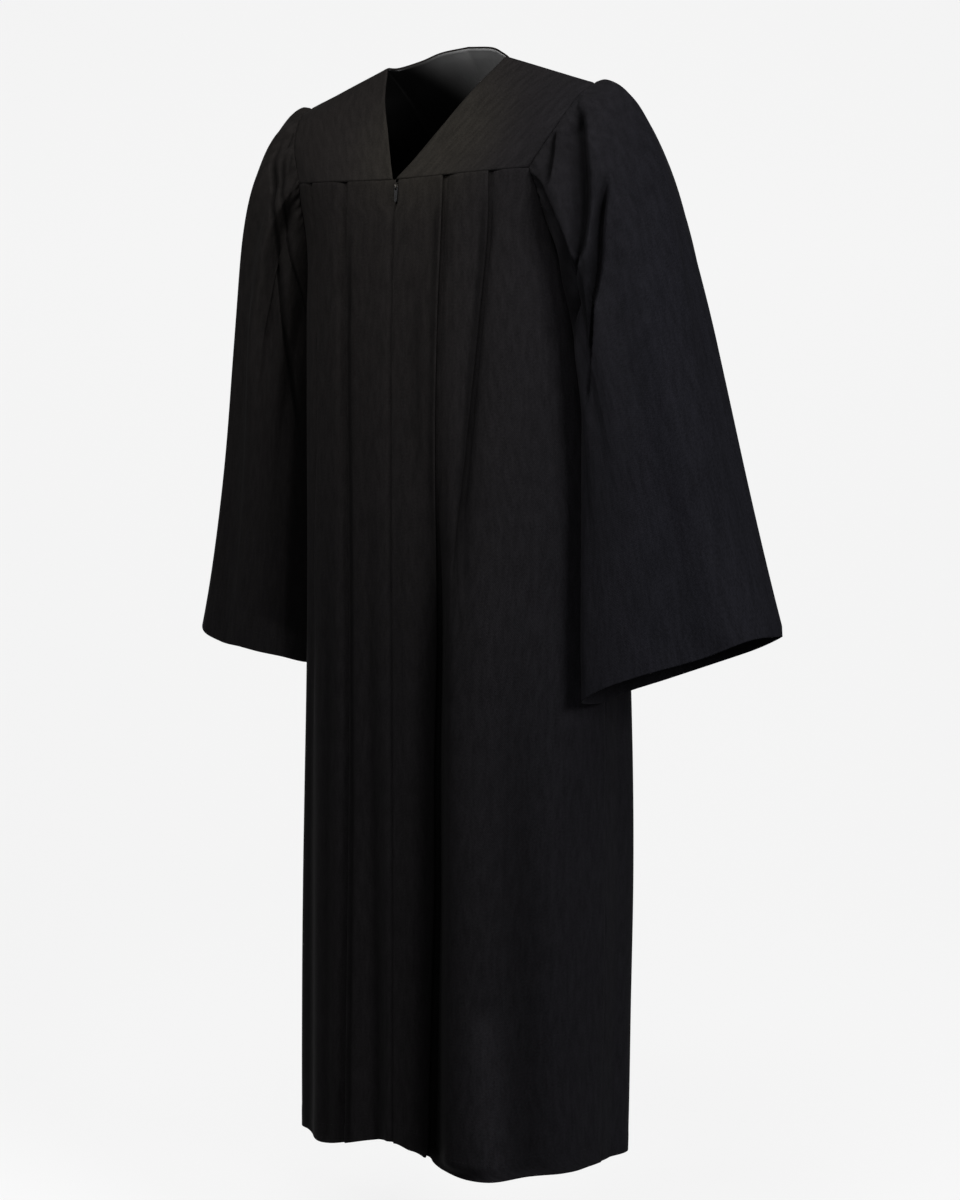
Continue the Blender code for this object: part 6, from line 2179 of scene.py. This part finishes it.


# In the crease tables below, the seventh number of a crease is the painted shade it lays on the cloth's colour, 0.3
# where it is left out; a negative one is a painted highlight. Creases under a millimetre deep are there mostly for
# their painted shade.
LEFT_SLEEVE_CREASES = (
    Crease(
        ((0.130, 0.012), (0.150, 0.035), (0.167, 0.060), (0.184, 0.098), (0.198, 0.132)),
        6.0 * MM, 1.8 * MM, 6 * MM, 0.15, 0.25, 0.75,
    ),
    Crease(
        ((0.080, 0.035), (0.104, 0.105), (0.130, 0.175), (0.150, 0.240), (0.177, 0.312), (0.212, 0.352), (0.290, 0.320), (0.345, 0.345)),
        13.0 * MM, 3.5 * MM, 13 * MM, 0.12, 0.10, 0.7,
    ),
    Crease(
        ((0.112, 0.280), (0.132, 0.321), (0.154, 0.360), (0.184, 0.425), (0.220, 0.465), (0.270, 0.500), (0.330, 0.540)),
        13.0 * MM, 2.8 * MM, 7 * MM, 0.2, 0.12, 0.75,
    ),
    # Painted shade: a dark strip between the lower fold and the body, barely sunk.
    Crease(((0.190, 0.350), (0.212, 0.400), (0.235, 0.450), (0.265, 0.490)), 0.5 * MM, 9 * MM, 16 * MM, 0.3, 0.3, 0.6),
    Crease(((0.060, 0.012), (0.085, 0.050), (0.105, 0.110)), 3.0 * MM, 1.8 * MM, 5 * MM, 0.3, 0.4, 0.4),
    Crease(((0.260, 0.100), (0.300, 0.200), (0.325, 0.300), (0.345, 0.400)), 2.0 * MM, 16 * MM, 14 * MM, 0.3, 0.2, 0.6),
    Crease(((0.140, 0.240), (0.180, 0.346), (0.218, 0.435), (0.270, 0.500), (0.335, 0.560)), -4.0 * MM, 7 * MM, 7 * MM, 0.3, 0.3, 0.0),
    Crease(
        ((0.020, 0.380), (0.028, 0.550), (0.045, 0.690), (0.070, 0.800), (0.090, 0.900), (0.110, 1.000)),
        -3.0 * MM, 6 * MM, 22 * MM, 0.3, 0.02, 0.0,
    ),
    Crease(((0.940, 0.05), (0.900, 0.22), (0.850, 0.42), (0.800, 0.62)), 6.0 * MM, 6 * MM, 14 * MM, 0.2, 0.5),
    Crease(((0.860, 0.03), (0.800, 0.16), (0.730, 0.28), (0.660, 0.36)), 7.0 * MM, 5 * MM, 12 * MM, 0.2, 0.3),
    Crease(((0.970, 0.45), (0.960, 0.70), (0.940, 1.00)), -3.0 * MM, 8 * MM, 20 * MM, 0.4, 0.02, 0.0),
)
RIGHT_SLEEVE_CREASES = (
    # Painted shade over a shallow trough on the sleeve's side towards the body.
    Crease(((0.400, 0.230), (0.440, 0.370), (0.445, 0.560), (0.446, 0.725), (0.432, 0.960)), 2.5 * MM, 42 * MM, 24 * MM, 0.3, 0.02, 0.45),
    Crease(
        ((0.088, 0.060), (0.103, 0.090), (0.130, 0.112), (0.178, 0.150), (0.221, 0.183), (0.287, 0.243), (0.347, 0.345), (0.417, 0.440), (0.458, 0.540)),
        5.0 * MM, 3.5 * MM, 10 * MM, 0.15, 0.2, 0.65,
    ),
    Crease(
        ((0.112, 0.020), (0.130, 0.035), (0.157, 0.078), (0.213, 0.103), (0.267, 0.115), (0.311, 0.130), (0.389, 0.137), (0.438, 0.165)),
        2.5 * MM, 3 * MM, 8 * MM, 0.2, 0.2, 0.55,
    ),
    Crease(((0.080, 0.004), (0.100, 0.030), (0.125, 0.060)), 2.0 * MM, 1.5 * MM, 4 * MM, 0.3, 0.5),
    Crease(((0.130, 0.004), (0.150, 0.030), (0.172, 0.062)), 2.2 * MM, 1.5 * MM, 4 * MM, 0.3, 0.5),
    Crease(((0.190, 0.004), (0.203, 0.035), (0.222, 0.075)), 2.0 * MM, 1.5 * MM, 4 * MM, 0.3, 0.5),
    Crease(((0.200, 0.300), (0.215, 0.500), (0.235, 0.750), (0.250, 1.000)), -3.0 * MM, 10 * MM, 24 * MM, 0.4, 0.02, 0.0),
    Crease(((0.935, 0.05), (0.890, 0.22), (0.840, 0.42), (0.780, 0.62)), 6.0 * MM, 6 * MM, 14 * MM, 0.2, 0.5),
    Crease(((0.850, 0.03), (0.790, 0.16), (0.720, 0.28), (0.650, 0.36)), 6.5 * MM, 5 * MM, 12 * MM, 0.2, 0.3),
    Crease(((0.980, 0.50), (0.955, 0.75), (0.950, 1.00)), -3.0 * MM, 8 * MM, 20 * MM, 0.4, 0.02, 0.0),
)
LEFT_FRONT_CREASES = (
    Crease(((0.0355, -0.24), (0.0360, -0.34), (0.0365, -0.42), (0.0360, -0.52)), 1.6 * MM, 5 * MM, 8 * MM, 0.3, 0.4),
    Crease(
        ((0.0580, -0.40), (0.0540, -0.60), (0.0480, -0.78), (0.0465, -0.95), (0.0435, -1.08), (0.0400, -1.275)),
        17.0 * MM, 15 * MM, 21 * MM, 0.40, 0.02, 0.62,
    ),
    Crease(
        ((0.0930, -0.44), (0.0880, -0.62), (0.0850, -0.79), (0.0840, -0.96), (0.0820, -1.08), (0.0800, -1.275)),
        -13.0 * MM, 32 * MM, 13 * MM, 0.35, 0.02, 0.0,
    ),
    # Painted shade beside the inner pleat, away from the centre, barely sunk.
    Crease(
        ((0.0600, -0.50), (0.0530, -0.70), (0.0500, -0.85), (0.0470, -0.97), (0.0440, -1.08), (0.0400, -1.275)),
        0.3 * MM, 32 * MM, 5 * MM, 0.30, 0.02, 0.62,
    ),
    # A painted highlight: a light wedge above the hem, on a low ridge.
    Crease(((0.1290, -1.282), (0.1240, -1.18), (0.1170, -1.080)), -3.0 * MM, 13 * MM, 13 * MM, 0.01, 0.15, -0.5),
    Crease(((0.0625, -0.15), (0.0590, -0.28), (0.0550, -0.45), (0.0530, -0.62)), 0.6 * MM, 2 * MM, 5 * MM, 0.1, 0.3, 0.5),
    Crease(
        ((0.1180, -0.15), (0.1095, -0.28), (0.0945, -0.45), (0.0860, -0.58), (0.0810, -0.70)),
        1.6 * MM, 7 * MM, 2.5 * MM, 0.1, 0.35, 0.5,
    ),
    Crease(((0.1500, -0.62), (0.1560, -0.85), (0.1620, -1.08), (0.1660, -1.275)), 3.0 * MM, 14 * MM, 20 * MM, 0.5, 0.02),
)
RIGHT_FRONT_CREASES = (
    Crease(((0.0640, -0.16), (0.0625, -0.52), (0.0655, -0.72), (0.0690, -0.95), (0.0745, -1.275)), 1.5 * MM, 2.5 * MM, 3 * MM, 0.1, 0.02, 0.75),
    Crease(((0.0300, -0.42), (0.0330, -0.60), (0.0360, -0.85), (0.0370, -1.275)), 3.0 * MM, 6 * MM, 9 * MM, 0.5, 0.02),
    Crease(((0.1050, -0.45), (0.1080, -0.70), (0.1120, -0.95), (0.1150, -1.275)), 3.5 * MM, 9 * MM, 12 * MM, 0.4, 0.02),
    Crease(((0.1640, -0.50), (0.1680, -0.75), (0.1700, -1.00), (0.1720, -1.275)), 3.0 * MM, 8 * MM, 14 * MM, 0.5, 0.02),
)


def report(piece: bpy.types.Object) -> None:
    """Logs one piece and its triangles."""
    piece.data.calc_loop_triangles()
    log.info("%s: %d triangles", piece.name, len(piece.data.loop_triangles))


def main() -> None:
    """Builds and dresses every sub-assembly, then the studio."""
    logging.basicConfig(level=logging.INFO, format="%(message)s")
    cloth, satin = GownCloth().build(), SatinLining().build()
    thread = SewingThread().build()
    body, cut = BodyForm(), BodyCut()
    yokes = Yokes(body, cut)
    for piece in yokes.build(cloth, satin):
        report(piece)
    fronts = [
        FrontPanel("gown_front_left", "front_left", Side.LEFT, body, cut, creases=LEFT_FRONT_CREASES, flat_width=0.335, **LEFT_FRONT),
        FrontPanel("gown_front_right", "front_right", Side.RIGHT, body, cut, creases=RIGHT_FRONT_CREASES, flat_width=0.335, **RIGHT_FRONT),
    ]
    back = BackPanel(body, cut, BACK_FLUTES)
    sleeves = [
        Sleeve(Side.LEFT, body, cut, yokes, LEFT_SLEEVE_HEM, LEFT_SLEEVE_CREASES, SLEEVE_RUNS, SLEEVE_FOLDS),
        Sleeve(Side.RIGHT, body, cut, yokes, RIGHT_SLEEVE_HEM, RIGHT_SLEEVE_CREASES, SLEEVE_RUNS, SLEEVE_FOLDS, 156, 216, seed=71),
    ]
    for panel in [*fronts, back, *sleeves]:
        report(panel.build(cloth))
    yokes.dress()
    for panel in [*fronts, back, *sleeves]:
        panel.dress()
    closure = Zip(body, cut)
    report(closure.build_tape(ZipTape().build()))
    report(closure.build_coil(CoilNylon().build()))
    report(closure.build_slider(NickelPlate().build()))
    report(closure.build_pull(BlackEnamel().build()))
    closure.dress()
    sewing = Sewing(thread)
    report(sewing.build("stitches_hem", [fronts[0].hem_line(), fronts[1].hem_line(), back.hem_line()]))
    report(sewing.build("stitches_sleeve_hems", [sleeve.hem_line() for sleeve in sleeves]))
    report(sewing.build("stitches_placket", [fronts[0].placket_line(0.014)]))
    studio = Studio()
    studio.build_backdrop(StudioPaper().build())
    studio.build_lights()
    studio.build_camera()
    visual_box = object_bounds()
    {"cad": [list(corner) for corner in cad_box], "visual": [list(corner) for corner in visual_box]}


if __name__ == "__main__":
    main()
